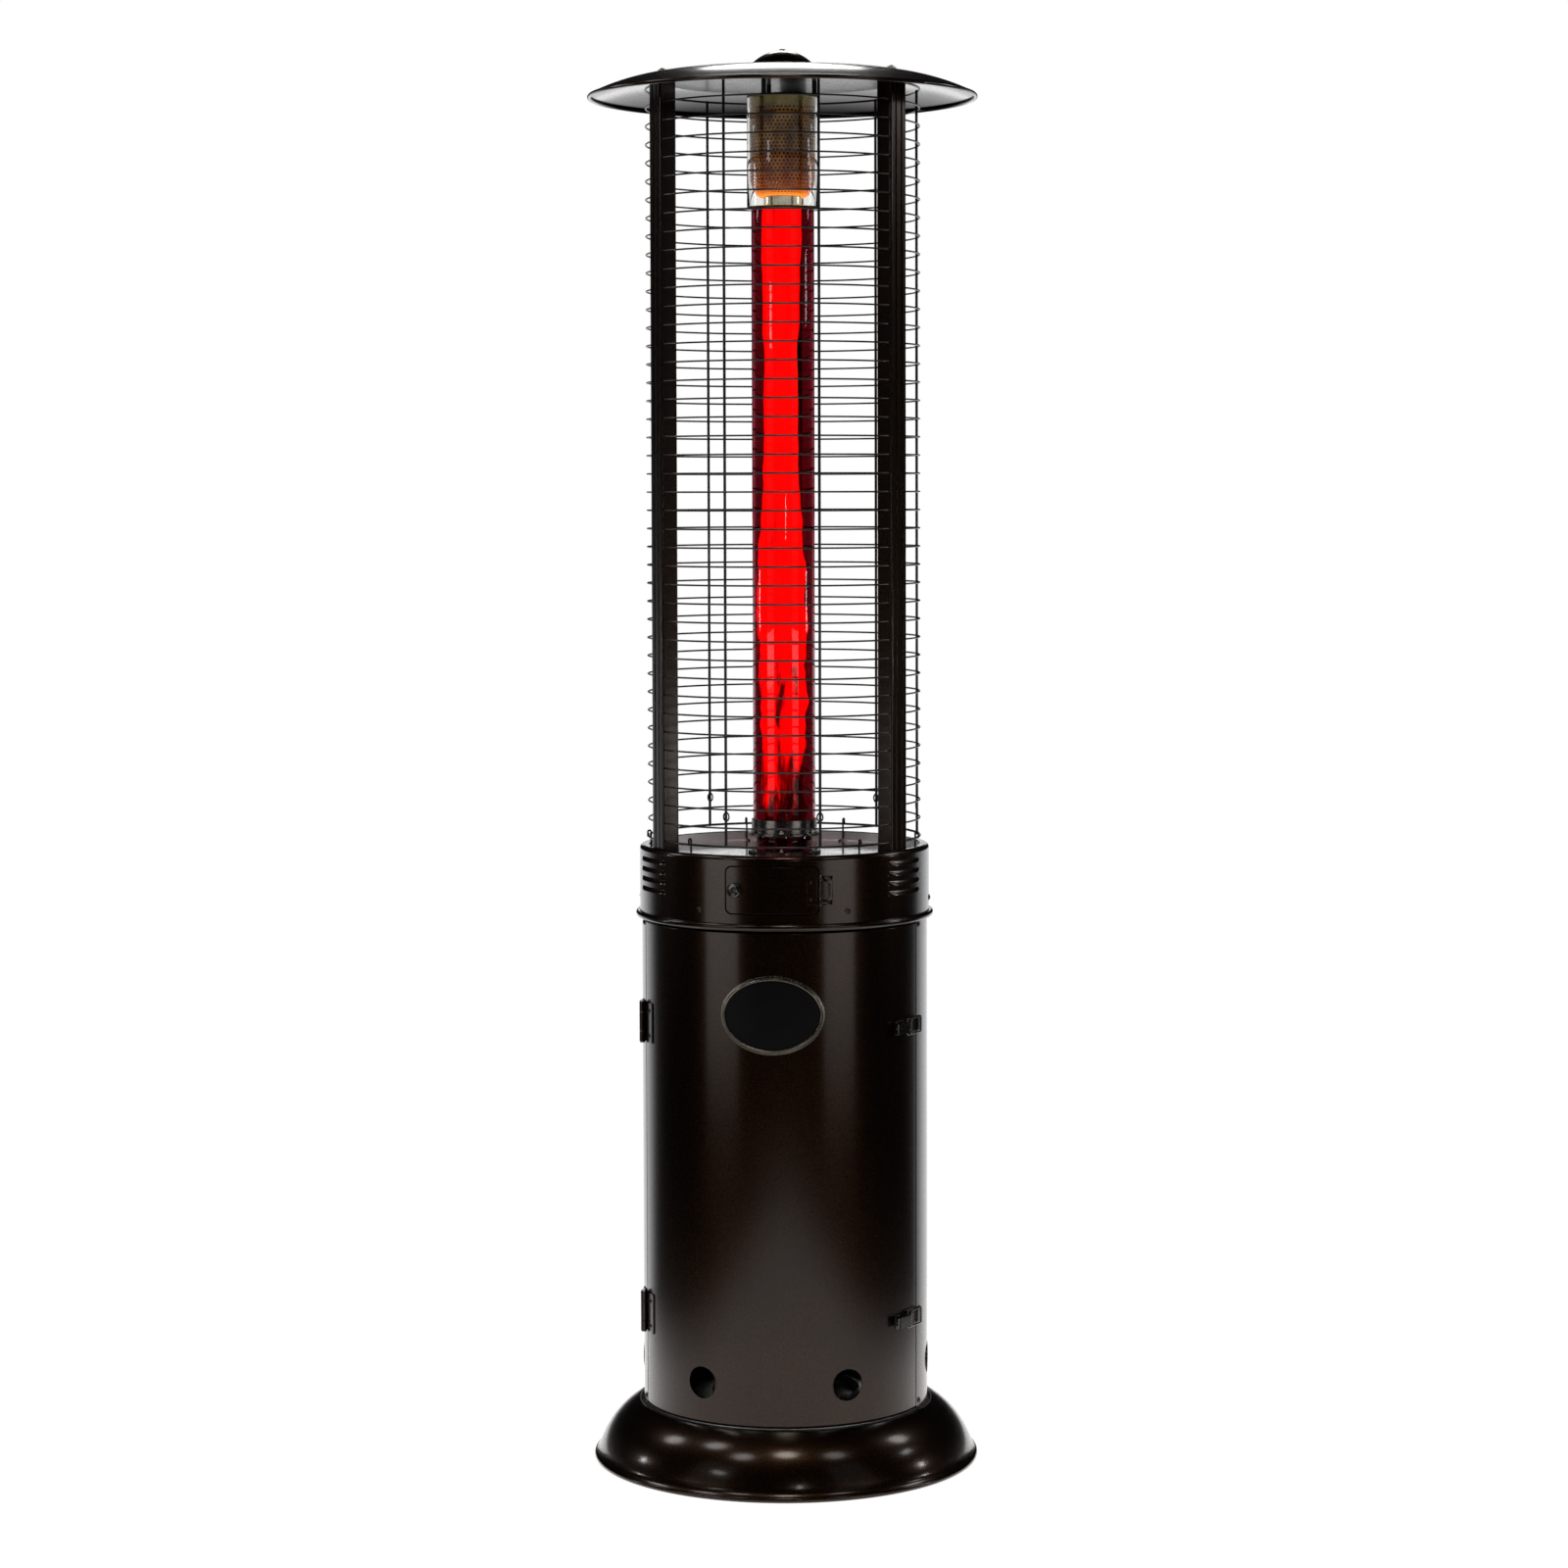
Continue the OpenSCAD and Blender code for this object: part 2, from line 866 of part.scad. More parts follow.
module lower_flange() {
    color(dark_nickel)
        rotate_extrude()
            band(throat_r - 1.5, flange_r, deck_z, throat_z);
}

module throat_sleeve() {
    color(clear_glass)
        rotate_extrude()
            band(throat_r - 1.5, throat_r, throat_z, clamp_z);
}

module clamp_flange() {
    color(dark_nickel)
        rotate_extrude() {
            band(throat_r - 1.5, flange_r, clamp_z, tube_z);
            band(tube_r + 0.3, tube_r + 2.3, tube_z, tube_z + 19);
        }
}

module flange_bolts() {
    color(zinc)
        for (a = [0:60:300], z = [throat_z, tube_z])
            rotate([0, 0, a])
                translate([0, -(flange_r - 2.6), z]) {
                    cylinder(r = 2.4, h = 2.8);
                    translate([0, 0, -3])
                        cylinder(r = 1.4, h = 4);
                }
}

module glass_tube() {
    color(clear_glass)
        rotate_extrude()
            band(tube_r - glass_t, tube_r, tube_z, tube_top);
}

module sleeve_ring() {
    color(ceramic)
        rotate_extrude() {
            band(tube_r - 3, sleeve_r, tube_top, sleeve_z);
            band(tube_r - 0.6, tube_r + 2.6, tube_top, sleeve_z + 16);
        }
}

module glass_sleeve() {
    color(clear_glass)
        rotate_extrude()
            band(sleeve_r - 3, sleeve_r, sleeve_z, sleeve_top);
}

module emitter_basket() {
    color(emitter_colour)
        rotate_extrude() {
            band(0, basket_r - basket_curve, basket_z, basket_z + 1);
            arc_strip(
                basket_r - basket_curve, basket_z + basket_curve, basket_curve, 1, -90, 0
            );
            band(basket_r - 1, basket_r, basket_z + basket_curve, sleeve_top);
        }
}

module flue_cap() {
    color(heat_tint)
        rotate_extrude() {
            band(20, sleeve_r + 0.5, sleeve_top, sleeve_top + 3);
            band(basket_r + 0.3, basket_r + 3.6, sleeve_top - 15, sleeve_top);
        }
}

module cap_studs() {
    color(paint_dark)
        for (a = [-30, 90, 210])
            on_wall(a, basket_r + 2, sleeve_top + 3)
                cylinder(r = 3.5, h = reflector_z - 1.2 - sleeve_top - 3);
}

// ---- posts and guard ----

module post_profile() {
    difference() {
        rounded_rect(post_w, post_d, 3);
        rounded_rect(post_w - 2 * post_wall, post_d - 2 * post_wall, 1.4);
    }
}

module post(azimuth) {
    color(paint)
        on_wall(azimuth, post_mid_r, 0)
            difference() {
                union() {
                    translate([0, 0, collar_top])
                        linear_extrude(height = post_top - collar_top)
                            post_profile();
                    translate([0, 0, post_top - 3])
                        linear_extrude(height = 3)
                            rounded_rect(post_w, post_d, 3);
                    translate([-post_w / 2, post_mid_r - foot_r, deck_z])
                        cube([post_w, foot_r - post_mid_r + post_d / 2, collar_top - deck_z + 2]);
                }
                for (x = [-7, 7])
                    translate([x - 1.5, -post_d / 2 - 1, collar_top - 1])
                        cube([3, 1.7, post_top - collar_top + 2]);
            }
}

module left_post() {
    post(post_az[0]);
}

module right_post() {
    post(post_az[1]);
}

module rear_post() {
    post(post_az[2]);
}

// Half a guard panel: its ring wires and one upright bar.
module guard_half(a0, a1, bar_az) {
    for (i = [0:guard_rings - 1]) {
        wire = (i == 0 || i == guard_rings - 1) ? 1.7 : ring_wire_r;
        sweep(a0, a1)
            translate([guard_r, guard_z0 + i * guard_pitch])
                circle(r = wire);
    }
    on_wall(bar_az, guard_r - ring_wire_r - bar_r + 0.5, guard_z0)
        cylinder(r = bar_r, h = guard_z1 - guard_z0);
}

module guard_panel(mid) {
    color(paint_dark)
        rotate([0, 0, mid]) {
            guard_half(-54.1, -0.01, -20);
            guard_half(0.01, 54.1, 20);
        }
}

module front_guard() {
    guard_panel(0);
}

module left_guard() {
    guard_panel(-120);
}

module right_guard() {
    guard_panel(120);
}

module guard_clips() {
    color(paint_dark)
        for (mid = [0, -120, 120], s = [-1, 1])
            on_wall(mid + s * 38, guard_r - 3, deck_z + 1.4) {
                cylinder(r = 1.4, h = guard_z0 - deck_z + 5);
                sphere(r = 1.4);
                translate([0, 14, 0])
                    outward_rod(r = 1.4, h = 14);
            }
}

// ---- head ----

module heat_shield() {
    color(paint_dark)
        translate([0, 0, shield_z])
            difference() {
                cylinder(r = 172, h = 1.2);
                for (a = [-30, 90, 210])
                    on_wall(a, basket_r + 2, -1)
                        cylinder(r = 3.5 + eps, h = 4);
            }
}

module reflector() {
    color(paint)
        difference() {
            rotate_extrude() {
                band(0, reflector_flat_r, reflector_z - 1.2, reflector_z);
                arc_strip(
                    reflector_flat_r, reflector_z - dish_arc, dish_arc, 1.2, dish_low, 90
                );
                translate([reflector_r - rim_r, rim_z])
                    circle(r = rim_r);
            }
            for (a = post_az)
                on_wall(a, bolt_r, reflector_z - 10)
                    cylinder(r = 3.2, h = 20);
            translate([0, 0, reflector_z - 5])
                cylinder(r = 2.6, h = 10);
        }
}

module vent_cap() {
    color(paint)
        rotate_extrude()
            difference() {
                arc_strip(
                    0, cap_dome_z, cap_dome_r, 1.5,
                    asin((reflector_z - cap_dome_z) / cap_dome_r), 90
                );
                band(-5, 2.6, reflector_z, overall_h + 5);
                band(-5, 70, reflector_z - 10, reflector_z + eps);
            }
}

module acorn_nuts() {
    color(zinc) {
        for (a = post_az)
            on_wall(a, bolt_r, post_top) {
                cylinder(r = 3, h = 5);
                translate([0, 0, 3.3])
                    cylinder(r = 7.5, h = 0.8);
                translate([0, 0, 4.1])
                    cylinder(r = 6, h = 1.8, $fn = 6);
                translate([0, 0, 5.9])
                    cylinder(r1 = 4.8, r2 = 2.6, h = 1.2);
            }
        translate([0, 0, reflector_z])
            cylinder(r = 2.5, h = vent_cap_h + 0.5);
        translate([0, 0, reflector_z + vent_cap_h])
            cylinder(r = 4, h = 1.2);
        translate([0, 0, reflector_z + vent_cap_h + 1.2])
            cylinder(r1 = 4, r2 = 2.2, h = 1.8);
    }
}

base_cover();
ballast_plate();
cylinder_tray();
cabinet_shell();
door_jambs();
sheet_screws();
fixed_hinge_leaves();
hinge_pins();
latch_strikes();
cabinet_door();
badge_frame();
badge_plate();
door_hinge_leaves();
latch_bases();
latch_lever(upper_z);  // upper_latch_lever
latch_bail(upper_z);  // upper_latch_bail
latch_lever(lower_z);  // lower_latch_lever
latch_bail(lower_z);  // lower_latch_bail
collar();
collar_bead();
deck();
control_box();
hatch_hinge_leaf();
control_hatch();
hatch_catch();
gas_valve();
valve_stem();
gas_knob();
gas_inlet();
gas_pipe();
orifice_holder();
burner_cup();
pilot_tube();
thermocouple();
spark_electrode();
igniter_body();
igniter_button();
tilt_switch_case();
tilt_pendulum();
lower_flange();
throat_sleeve();
clamp_flange();
flange_bolts();
glass_tube();
sleeve_ring();
glass_sleeve();
emitter_basket();
flue_cap();
cap_studs();
left_post();
right_post();
rear_post();
front_guard();
left_guard();
right_guard();
guard_clips();
heat_shield();
reflector();
vent_cap();
acorn_nuts();
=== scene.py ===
"""Looks of the round outdoor heater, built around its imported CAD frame.

Lengths are metres. Azimuths are degrees, from the front (-Y) towards +X.
An outline or a profile is a list of (x, y) or (radius, height) points.
"""

import math

import bmesh
import bpy
from mathutils import Matrix, Vector
from mathutils.geometry import delaunay_2d_cdt


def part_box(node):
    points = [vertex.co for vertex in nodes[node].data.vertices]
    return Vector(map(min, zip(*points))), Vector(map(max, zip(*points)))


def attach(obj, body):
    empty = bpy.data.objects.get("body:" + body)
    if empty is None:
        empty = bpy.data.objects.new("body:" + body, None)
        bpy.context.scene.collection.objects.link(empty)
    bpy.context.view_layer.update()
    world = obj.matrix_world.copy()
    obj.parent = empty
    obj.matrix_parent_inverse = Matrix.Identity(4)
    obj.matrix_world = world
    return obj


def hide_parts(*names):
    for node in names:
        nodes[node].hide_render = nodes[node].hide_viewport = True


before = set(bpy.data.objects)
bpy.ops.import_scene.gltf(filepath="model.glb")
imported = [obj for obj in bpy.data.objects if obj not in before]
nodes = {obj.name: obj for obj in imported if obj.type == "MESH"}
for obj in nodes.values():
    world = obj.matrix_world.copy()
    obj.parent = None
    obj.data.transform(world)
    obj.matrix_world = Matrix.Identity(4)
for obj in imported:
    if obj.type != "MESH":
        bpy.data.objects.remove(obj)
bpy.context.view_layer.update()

MM = 0.001
TURN_STEP = 2.0      # degrees between the columns of a round sheet
SHEET = 1.2 * MM     # painted sheet steel
RAIL_WIRE = 1.7 * MM  # radius of the top and bottom ring of a guard panel


# ---------------------------------------------------------------- places taken from the frame

def low(node):
    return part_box(node)[0]


def high(node):
    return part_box(node)[1]


def middle(node):
    return (low(node) + high(node)) / 2


BASE_R = high("base_cover").x
BASE_H = high("base_cover").z
CAB_R = high("cabinet_shell").x
CAB_LOW = low("cabinet_shell").z
CAB_HIGH = high("cabinet_shell").z
DOOR_LOW = low("cabinet_door").z
DOOR_HIGH = high("cabinet_door").z
DOOR_HALF = 69.8
VENT_R = 22.5 * MM
VENT_Z = CAB_LOW + 58 * MM
BADGE_Z = middle("badge_frame").z
BADGE_W = 2 * high("badge_frame").x
BADGE_H = high("badge_frame").z - low("badge_frame").z
UPPER_Z = middle("upper_latch_lever").z
LOWER_Z = middle("lower_latch_lever").z
COLLAR_R = high("collar").x
COLLAR_LOW = low("collar").z
COLLAR_HIGH = high("collar").z
DECK_Z = high("deck").z
HATCH_Z = middle("control_hatch").z
HATCH_HALF = 18.0
HATCH_H = high("control_hatch").z - low("control_hatch").z
GUARD_R = -low("front_guard").y - RAIL_WIRE
GUARD_LOW = low("front_guard").z + RAIL_WIRE
GUARD_HIGH = high("front_guard").z - RAIL_WIRE
GUARD_RINGS = 42
PANEL_HALF = 54.1     # degrees from the middle of a guard panel to its wires' ends
BAR_AZIMUTH = 20      # and to its upright bars
CLIP_AZIMUTH = 38     # and to its clips
POST_AZIMUTHS = {"left_post": -60.0, "right_post": 60.0, "rear_post": 180.0}
POST_MID_R = 186.5 * MM
POST_HIGH = high("rear_post").z
TUBE_R = high("glass_tube").x
TUBE_LOW = low("glass_tube").z
TUBE_HIGH = high("glass_tube").z
SLEEVE_R = high("glass_sleeve").x
SLEEVE_LOW = low("glass_sleeve").z
SLEEVE_HIGH = high("glass_sleeve").z
BASKET_R = SLEEVE_R - 4.2 * MM
BASKET_LOW = low("emitter_basket").z
THROAT_R = high("throat_sleeve").x
THROAT_LOW = low("throat_sleeve").z
THROAT_HIGH = high("throat_sleeve").z
DISH_R = high("reflector").x
DISH_HIGH = high("reflector").z
CAP_HIGH = high("vent_cap").z


# ---------------------------------------------------------------- camera

CAMERA_AZIMUTH = 5.0
CAMERA_DISTANCE = 5.286
CAMERA_HEIGHT = 1.40
CAMERA_PITCH = 3.22
CAMERA_ROLL = -0.16
CAMERA_SHIFT = -0.055
LENS_MM = 84.19


def polar(radius, azimuth, z):
    a = math.radians(azimuth)
    return Vector((radius * math.sin(a), -radius * math.cos(a), z))


def link(obj):
    bpy.context.scene.collection.objects.link(obj)
    return obj


def add_camera():
    data = bpy.data.cameras.new("camera")
    data.lens = LENS_MM
    data.sensor_width = 36
    data.shift_y = CAMERA_SHIFT
    camera = link(bpy.data.objects.new("camera", data))
    camera.location = polar(CAMERA_DISTANCE, CAMERA_AZIMUTH, CAMERA_HEIGHT)
    turns = ((CAMERA_AZIMUTH, "Z"), (90 - CAMERA_PITCH, "X"), (CAMERA_ROLL, "Z"))
    azimuth, pitch, roll = [Matrix.Rotation(math.radians(angle), 3, axis) for angle, axis in turns]
    camera.rotation_euler = (azimuth @ pitch @ roll).to_euler()
    bpy.context.scene.camera = camera


add_camera()


# ---------------------------------------------------------------- material helpers

class Nodes:
    """Makes and links the nodes of a material or a world."""

    def __init__(self, tree):
        self.tree = tree

    def feed(self, socket, value):
        if isinstance(value, bpy.types.NodeSocket):
            self.tree.links.new(value, socket)
        else:
            socket.default_value = value

    def node(self, kind, **inputs):
        made = self.tree.nodes.new(kind)
        for name, value in inputs.items():
            self.feed(made.inputs[name.replace("_", " ").title()], value)
        return made

    def combine(self, kind, operation, *values):
        """The value that a math or a vector math node makes of its inputs."""
        made = self.node(kind)
        made.operation = operation
        for socket, value in zip(made.inputs, values):
            self.feed(socket, value)
        return made.outputs["Value"]

    def span(self, value, from_min, from_max, to_min=0.0, to_max=1.0, kind="LINEAR"):
        """The value carried over from one range to another."""
        made = self.node("ShaderNodeMapRange", value=value, from_min=from_min, from_max=from_max)
        made.interpolation_type = kind
        made.inputs["To Min"].default_value = to_min
        made.inputs["To Max"].default_value = to_max
        return made.outputs["Result"]

    def mix(self, factor, first, second, blend="MIX"):
        made = self.node("ShaderNodeMix")
        made.data_type = "RGBA"
        made.blend_type = blend
        for number, value in ((0, factor), (6, first), (7, second)):
            self.feed(made.inputs[number], value)
        return made.outputs[2]


class Shader(Nodes):
    """One procedural material: a Principled shader and the nodes that feed it."""

    def __init__(self, name, **constants):
        self.material = bpy.data.materials.new(name)
        self.material.use_nodes = True
        super().__init__(self.material.node_tree)
        self.principled = self.tree.nodes["Principled BSDF"]
        self.constants(**constants)
        self.place = self.node("ShaderNodeTexCoord").outputs["Object"]

    def constants(self, **values):
        for name, value in values.items():
            socket = self.principled.inputs[name.replace("_", " ").title().replace("Ior", "IOR")]
            socket.default_value = (*value, 1) if isinstance(value, tuple) else value

    def set(self, name, value):
        self.feed(self.principled.inputs[name], value)

    def stretched(self, scale, shift=(0, 0, 0)):
        made = self.node("ShaderNodeMapping", vector=self.place, scale=scale, location=shift)
        return made.outputs["Vector"]

    def noise(self, scale, detail, stretch=(1, 1, 1)):
        place = self.stretched(stretch)
        return self.node("ShaderNodeTexNoise", vector=place, scale=scale, detail=detail).outputs["Fac"]

    def cells(self, scale):
        return self.node("ShaderNodeTexVoronoi", vector=self.place, scale=scale).outputs["Color"]

    def height(self):
        return self.node("ShaderNodeSeparateXYZ", vector=self.place).outputs["Z"]

    def ramp(self, value, *stops):
        made = self.node("ShaderNodeValToRGB", fac=value)
        elements = made.color_ramp.elements
        while len(elements) < len(stops):
            elements.new(0.5)
        for element, (position, colour) in zip(elements, stops):
            element.position = position
            element.color = (*colour, 1)
        return made.outputs["Color"]

    def drift(self, scale, detail, dark, light):
        self.set("Base Color", self.ramp(self.noise(scale, detail), (0.3, dark), (0.7, light)))

    def gloss(self, scale, detail, low_rough, high_rough):
        self.set("Roughness", self.span(self.noise(scale, detail), 0.3, 0.7, low_rough, high_rough))

    def grain(self, scale, detail, height_mm, strength, stretch=(1, 1, 1)):
        height = self.noise(scale, detail, stretch)
        made = self.node("ShaderNodeBump", height=height, strength=strength, distance=height_mm * MM)
        self.set("Normal", made.outputs["Normal"])


def grey(value):
    return (value, value, value)


# ---------------------------------------------------------------- materials

def surface(name, drift, gloss, grain, **constants):
    """A colour that drifts between two tones, with uneven gloss and a fine grain.

    Each of the three gives a noise scale and detail, and then its two tones, its two
    roughnesses, or its height in millimetres and strength.
    """
    s = Shader(name, **constants)
    s.drift(*drift)
    s.gloss(*gloss)
    s.grain(*grain)
    return s.material


def metal(name, dark, light, rough_low, rough_high, grain=500, bump=0.01):
    """Bare or plated metal."""
    gloss = (grain, 3, rough_low, rough_high)
    return surface(name, (35, 4, dark, light), gloss, (grain, 2, bump, 0.5), metallic=1.0)


def plastic(name, dark, light):
    return surface(name, (70, 3, dark, light), (600, 3, 0.36, 0.5), (1400, 2, 0.04, 0.6))


def flake_paint():
    """Dark brown paint with fine metal flake under a clear coat."""
    s = Shader("flake_paint", metallic=1.0, coat_weight=1.0, coat_roughness=0.15, coat_ior=1.37)
    flake = s.ramp(
        s.noise(1500, 2),
        (0.36, (0.003, 0.0008, 0.0003)),
        (0.52, (0.018, 0.0075, 0.0025)),
        (0.70, (0.066, 0.029, 0.010)),
    )
    shade = s.ramp(s.noise(9, 3), (0.3, grey(0.75)), (0.7, grey(1.0)))
    s.set("Base Color", s.mix(1.0, flake, shade, "MULTIPLY"))
    s.gloss(420, 2, 0.26, 0.38)
    s.grain(260, 2, 0.09, 0.6)
    return s.material


def wire_paint():
    """Black baked enamel of the wires and the inner steelwork."""
    tones = (60, 4, grey(0.001), (0.004, 0.0035, 0.003))
    coat = {"coat_weight": 0.3, "coat_roughness": 0.14}
    return surface("wire_paint", tones, (300, 3, 0.28, 0.45), (700, 2, 0.03, 0.5), **coat)


def badge_black():
    """Flat black face with a fine grain."""
    tones = (40, 3, grey(0.0006), grey(0.0014))
    return surface("badge_black", tones, (900, 2, 0.40, 0.55), (1200, 2, 0.02, 0.4), specular_ior_level=0.12)


def zinc_plate():
    """Plated steel with faint spangle."""
    s = Shader("zinc_plate", metallic=1.0)
    spangle = s.ramp(s.cells(120), (0.2, grey(0.42)), (0.8, grey(0.66)))
    s.set("Base Color", s.mix(0.35, spangle, (0.60, 0.58, 0.50, 1)))
    s.gloss(90, 4, 0.28, 0.45)
    s.grain(400, 2, 0.02, 0.5)
    return s.material


def cast_iron():
    tones = (60, 5, (0.03, 0.028, 0.027), (0.09, 0.08, 0.075))
    return surface("cast_iron", tones, (150, 4, 0.6, 0.85), (330, 4, 0.3, 0.8), metallic=0.6)


def glass(name, tint):
    """Drawn glass. Faint streaks run along it; tint is what one wall lets through."""
    s = Shader(name, transmission_weight=1.0, ior=1.30, roughness=0.0)
    darker = tuple(0.93 * c for c in tint)
    s.set("Base Color", s.ramp(s.noise(45, 2, (1, 1, 0.02)), (0.35, darker), (0.65, tint)))
    s.grain(22, 1, 0.015, 0.4, (1, 1, 0.05))
    return s.material


def ceramic():
    tones = (90, 4, (0.50, 0.44, 0.28), (0.78, 0.72, 0.52))
    return surface("ceramic", tones, (240, 3, 0.5, 0.7), (500, 3, 0.05, 0.6))


def emitter_steel():
    """Perforated steel, scaled brown by heat, glowing orange round its lower edge."""
    s = Shader("emitter_steel", metallic=0.85)
    s.set("Base Color", s.ramp(
        s.noise(55, 5, (1, 1, 0.5)),
        (0.30, (0.040, 0.012, 0.002)),
        (0.52, (0.130, 0.050, 0.006)),
        (0.72, (0.270, 0.130, 0.024)),
    ))
    s.gloss(140, 3, 0.35, 0.55)
    rise = s.span(s.height(), BASKET_LOW, BASKET_LOW + 75 * MM)
    s.set("Emission Color", s.ramp(
        rise,
        (0.00, (1.0, 0.30, 0.02)),
        (0.05, (0.8, 0.15, 0.008)),
        (0.11, (0.12, 0.016, 0.001)),
        (0.50, (0.04, 0.004, 0.0)),
        (0.90, (0.0, 0.0, 0.0)),
    ))
    s.constants(emission_strength=1.2)
    s.grain(600, 3, 0.03, 0.5)
    return s.material


def painted_shade_sheet():
    """A dark sheet inside the emitter: painted shade that stands for the shadow inside the basket."""
    tones = (80, 4, (0.004, 0.002, 0.001), (0.020, 0.008, 0.003))
    return surface("painted_shade_sheet", tones, (200, 3, 0.7, 0.95), (400, 3, 0.05, 0.5), specular_ior_level=0.1)


def heat_tinted():
    """Steel with olive, straw and bronze heat colours."""
    s = Shader("heat_tinted", metallic=1.0)
    s.set("Base Color", s.ramp(
        s.noise(26, 3, (1, 1, 0.3)),
        (0.30, (0.045, 0.026, 0.008)),
        (0.45, (0.070, 0.048, 0.010)),
        (0.58, (0.115, 0.086, 0.024)),
        (0.72, (0.060, 0.024, 0.012)),
    ))
    s.gloss(160, 3, 0.25, 0.42)
    s.grain(500, 2, 0.02, 0.5)
    return s.material


def flame_light():
    """Red flame: an even glow high up, torn by dark streaks towards its foot."""
    s = Shader("flame_light", roughness=1.0, specular_ior_level=0.0)
    evenness = s.span(s.height(), DECK_Z + 0.03, DECK_Z + 0.48, 0.56, 1.70)
    streaks = s.combine("ShaderNodeMath", "MULTIPLY", s.noise(62, 3, (1, 1, 0.15)), evenness)
    s.set("Base Color", s.ramp(streaks, (0.3, (0.02, 0, 0)), (0.7, (0.2, 0, 0))))
    s.set("Emission Color", s.ramp(
        streaks,
        (0.32, (0.012, 0.0, 0.0)),
        (0.38, (0.16, 0.0, 0.001)),
        (0.46, (1.0, 0.0, 0.002)),
        (0.80, (1.0, 0.010, 0.004)),
    ))
    s.constants(emission_strength=4.2)
    return s.material


MATERIALS = {
    "gloss_paint": flake_paint(),
    "dark_paint": wire_paint(),
    "badge_black": badge_black(),
    "iron": cast_iron(),
    "zinc": zinc_plate(),
    "dark_nickel": metal("dark_nickel", (0.07, 0.065, 0.06), (0.17, 0.16, 0.15), 0.18, 0.30),
    "polished_deck": metal("polished_steel", grey(0.76), grey(0.86), 0.10, 0.18, 120, bump=0.002),
    "brass": metal("brass", (0.56, 0.36, 0.12), (0.80, 0.58, 0.24), 0.24, 0.38),
    "copper": metal("copper", (0.50, 0.20, 0.09), (0.80, 0.42, 0.24), 0.24, 0.40),
    "clear_glass": glass("clear_glass", (0.93, 0.94, 0.92)),
    "ceramic": ceramic(),
    "emitter": emitter_steel(),
    "heat_tint": heat_tinted(),
    "black_plastic": plastic("black_plastic", grey(0.008), grey(0.016)),
    "red_plastic": plastic("red_plastic", (0.30, 0.010, 0.008), (0.42, 0.018, 0.012)),
}
RING_SATIN = metal("ring_satin", (0.10, 0.085, 0.07), (0.17, 0.15, 0.13), 0.20, 0.30)
SATIN_RIM = metal("satin_rim", grey(0.84), grey(0.92), 0.46, 0.58, bump=0.004)
POLISHED_SEAT = metal("polished_seat", (0.34, 0.31, 0.23), (0.56, 0.53, 0.42), 0.14, 0.26)
TINTED_GLASS = glass("tinted_glass", (0.25, 0.030, 0.048))
FLAME = flame_light()
# painted shade: the dark sheet behind the emitter's holes
PAINTED_SHADE_SHEET = painted_shade_sheet()


# ---------------------------------------------------------------- outlines

def arc(centre, radius, start, end, steps=12):
    angles = [math.radians(start + (end - start) * i / steps) for i in range(steps + 1)]
    return [(centre[0] + radius * math.cos(a), centre[1] + radius * math.sin(a)) for a in angles]


def ellipse(width, height, steps=96):
    angles = [2 * math.pi * i / steps for i in range(steps)]
    return [(width / 2 * math.cos(a), height / 2 * math.sin(a)) for a in angles]


def rounded(points, radii, closed=True, steps=5):
    """The outline with its corners rounded. radii is one number, or one for each corner."""
    count = len(points)
    if not isinstance(radii, (list, tuple)):
        radii = [radii] * count
    result = []
    for i, radius in enumerate(radii):
        corner = Vector(points[i])
        if radius == 0 or (not closed and i in (0, count - 1)):
            result.append(tuple(corner))
            continue
        back = Vector(points[i - 1]) - corner
        ahead = Vector(points[(i + 1) % count]) - corner
        half = back.angle(ahead) / 2
        cut = min(radius / math.tan(half), 0.49 * back.length, 0.49 * ahead.length)
        radius = cut * math.tan(half)
        first = corner + back.normalized() * cut
        last = corner + ahead.normalized() * cut
        centre = corner + (back.normalized() + ahead.normalized()).normalized() * radius / math.sin(half)
        a0 = math.atan2(*(first - centre).yx)
        turn = math.atan2(*(last - centre).yx) - a0
        turn = (turn + math.pi) % (2 * math.pi) - math.pi
        for k in range(steps + 1):
            a = a0 + turn * k / steps
            result.append((centre.x + radius * math.cos(a), centre.y + radius * math.sin(a)))
    return result


def mm(points):
    """Points given in millimetres, in metres."""
    return [tuple(value * MM for value in point) for point in points]


def spoke(angle):
    return Vector((math.cos(math.radians(angle)), math.sin(math.radians(angle))))


def hexagon(radius):
    angles = [math.radians(60 * k) for k in range(6)]
    return [(radius * math.cos(a), radius * math.sin(a)) for a in angles]


def rectangle(x0, y0, x1, y1, radius=0, steps=5):
    return rounded([(x0, y0), (x1, y0), (x1, y1), (x0, y1)], radius, steps=steps)


def offset(path, distance):
    """The open path moved to its left by a distance."""
    result = []
    for i, point in enumerate(path):
        before = Vector(point) - Vector(path[i - 1]) if i else None
        after = Vector(path[i + 1]) - Vector(point) if i < len(path) - 1 else None
        sides = [Vector((-d.y, d.x)).normalized() for d in (before, after) if d]
        side = sum(sides, Vector((0, 0))).normalized()
        reach = distance / max(side.dot(sides[0]), 0.3)
        result.append((point[0] + side.x * reach, point[1] + side.y * reach))
    return result


# ---------------------------------------------------------------- solids: each returns (vertices, faces)

def skin(rings, size, closed=False):
    """Faces over rings of points, each ring a closed loop. An open row of rings has end caps."""
    faces = []
    for k in range(rings if closed else rings - 1):
        here, there = k * size, (k + 1) % rings * size
        for i in range(size):
            j = (i + 1) % size
            faces.append((here + i, here + j, there + j, there + i))
    if not closed:
        faces += [tuple(range(size)), tuple(range((rings - 1) * size, rings * size))]
    return faces


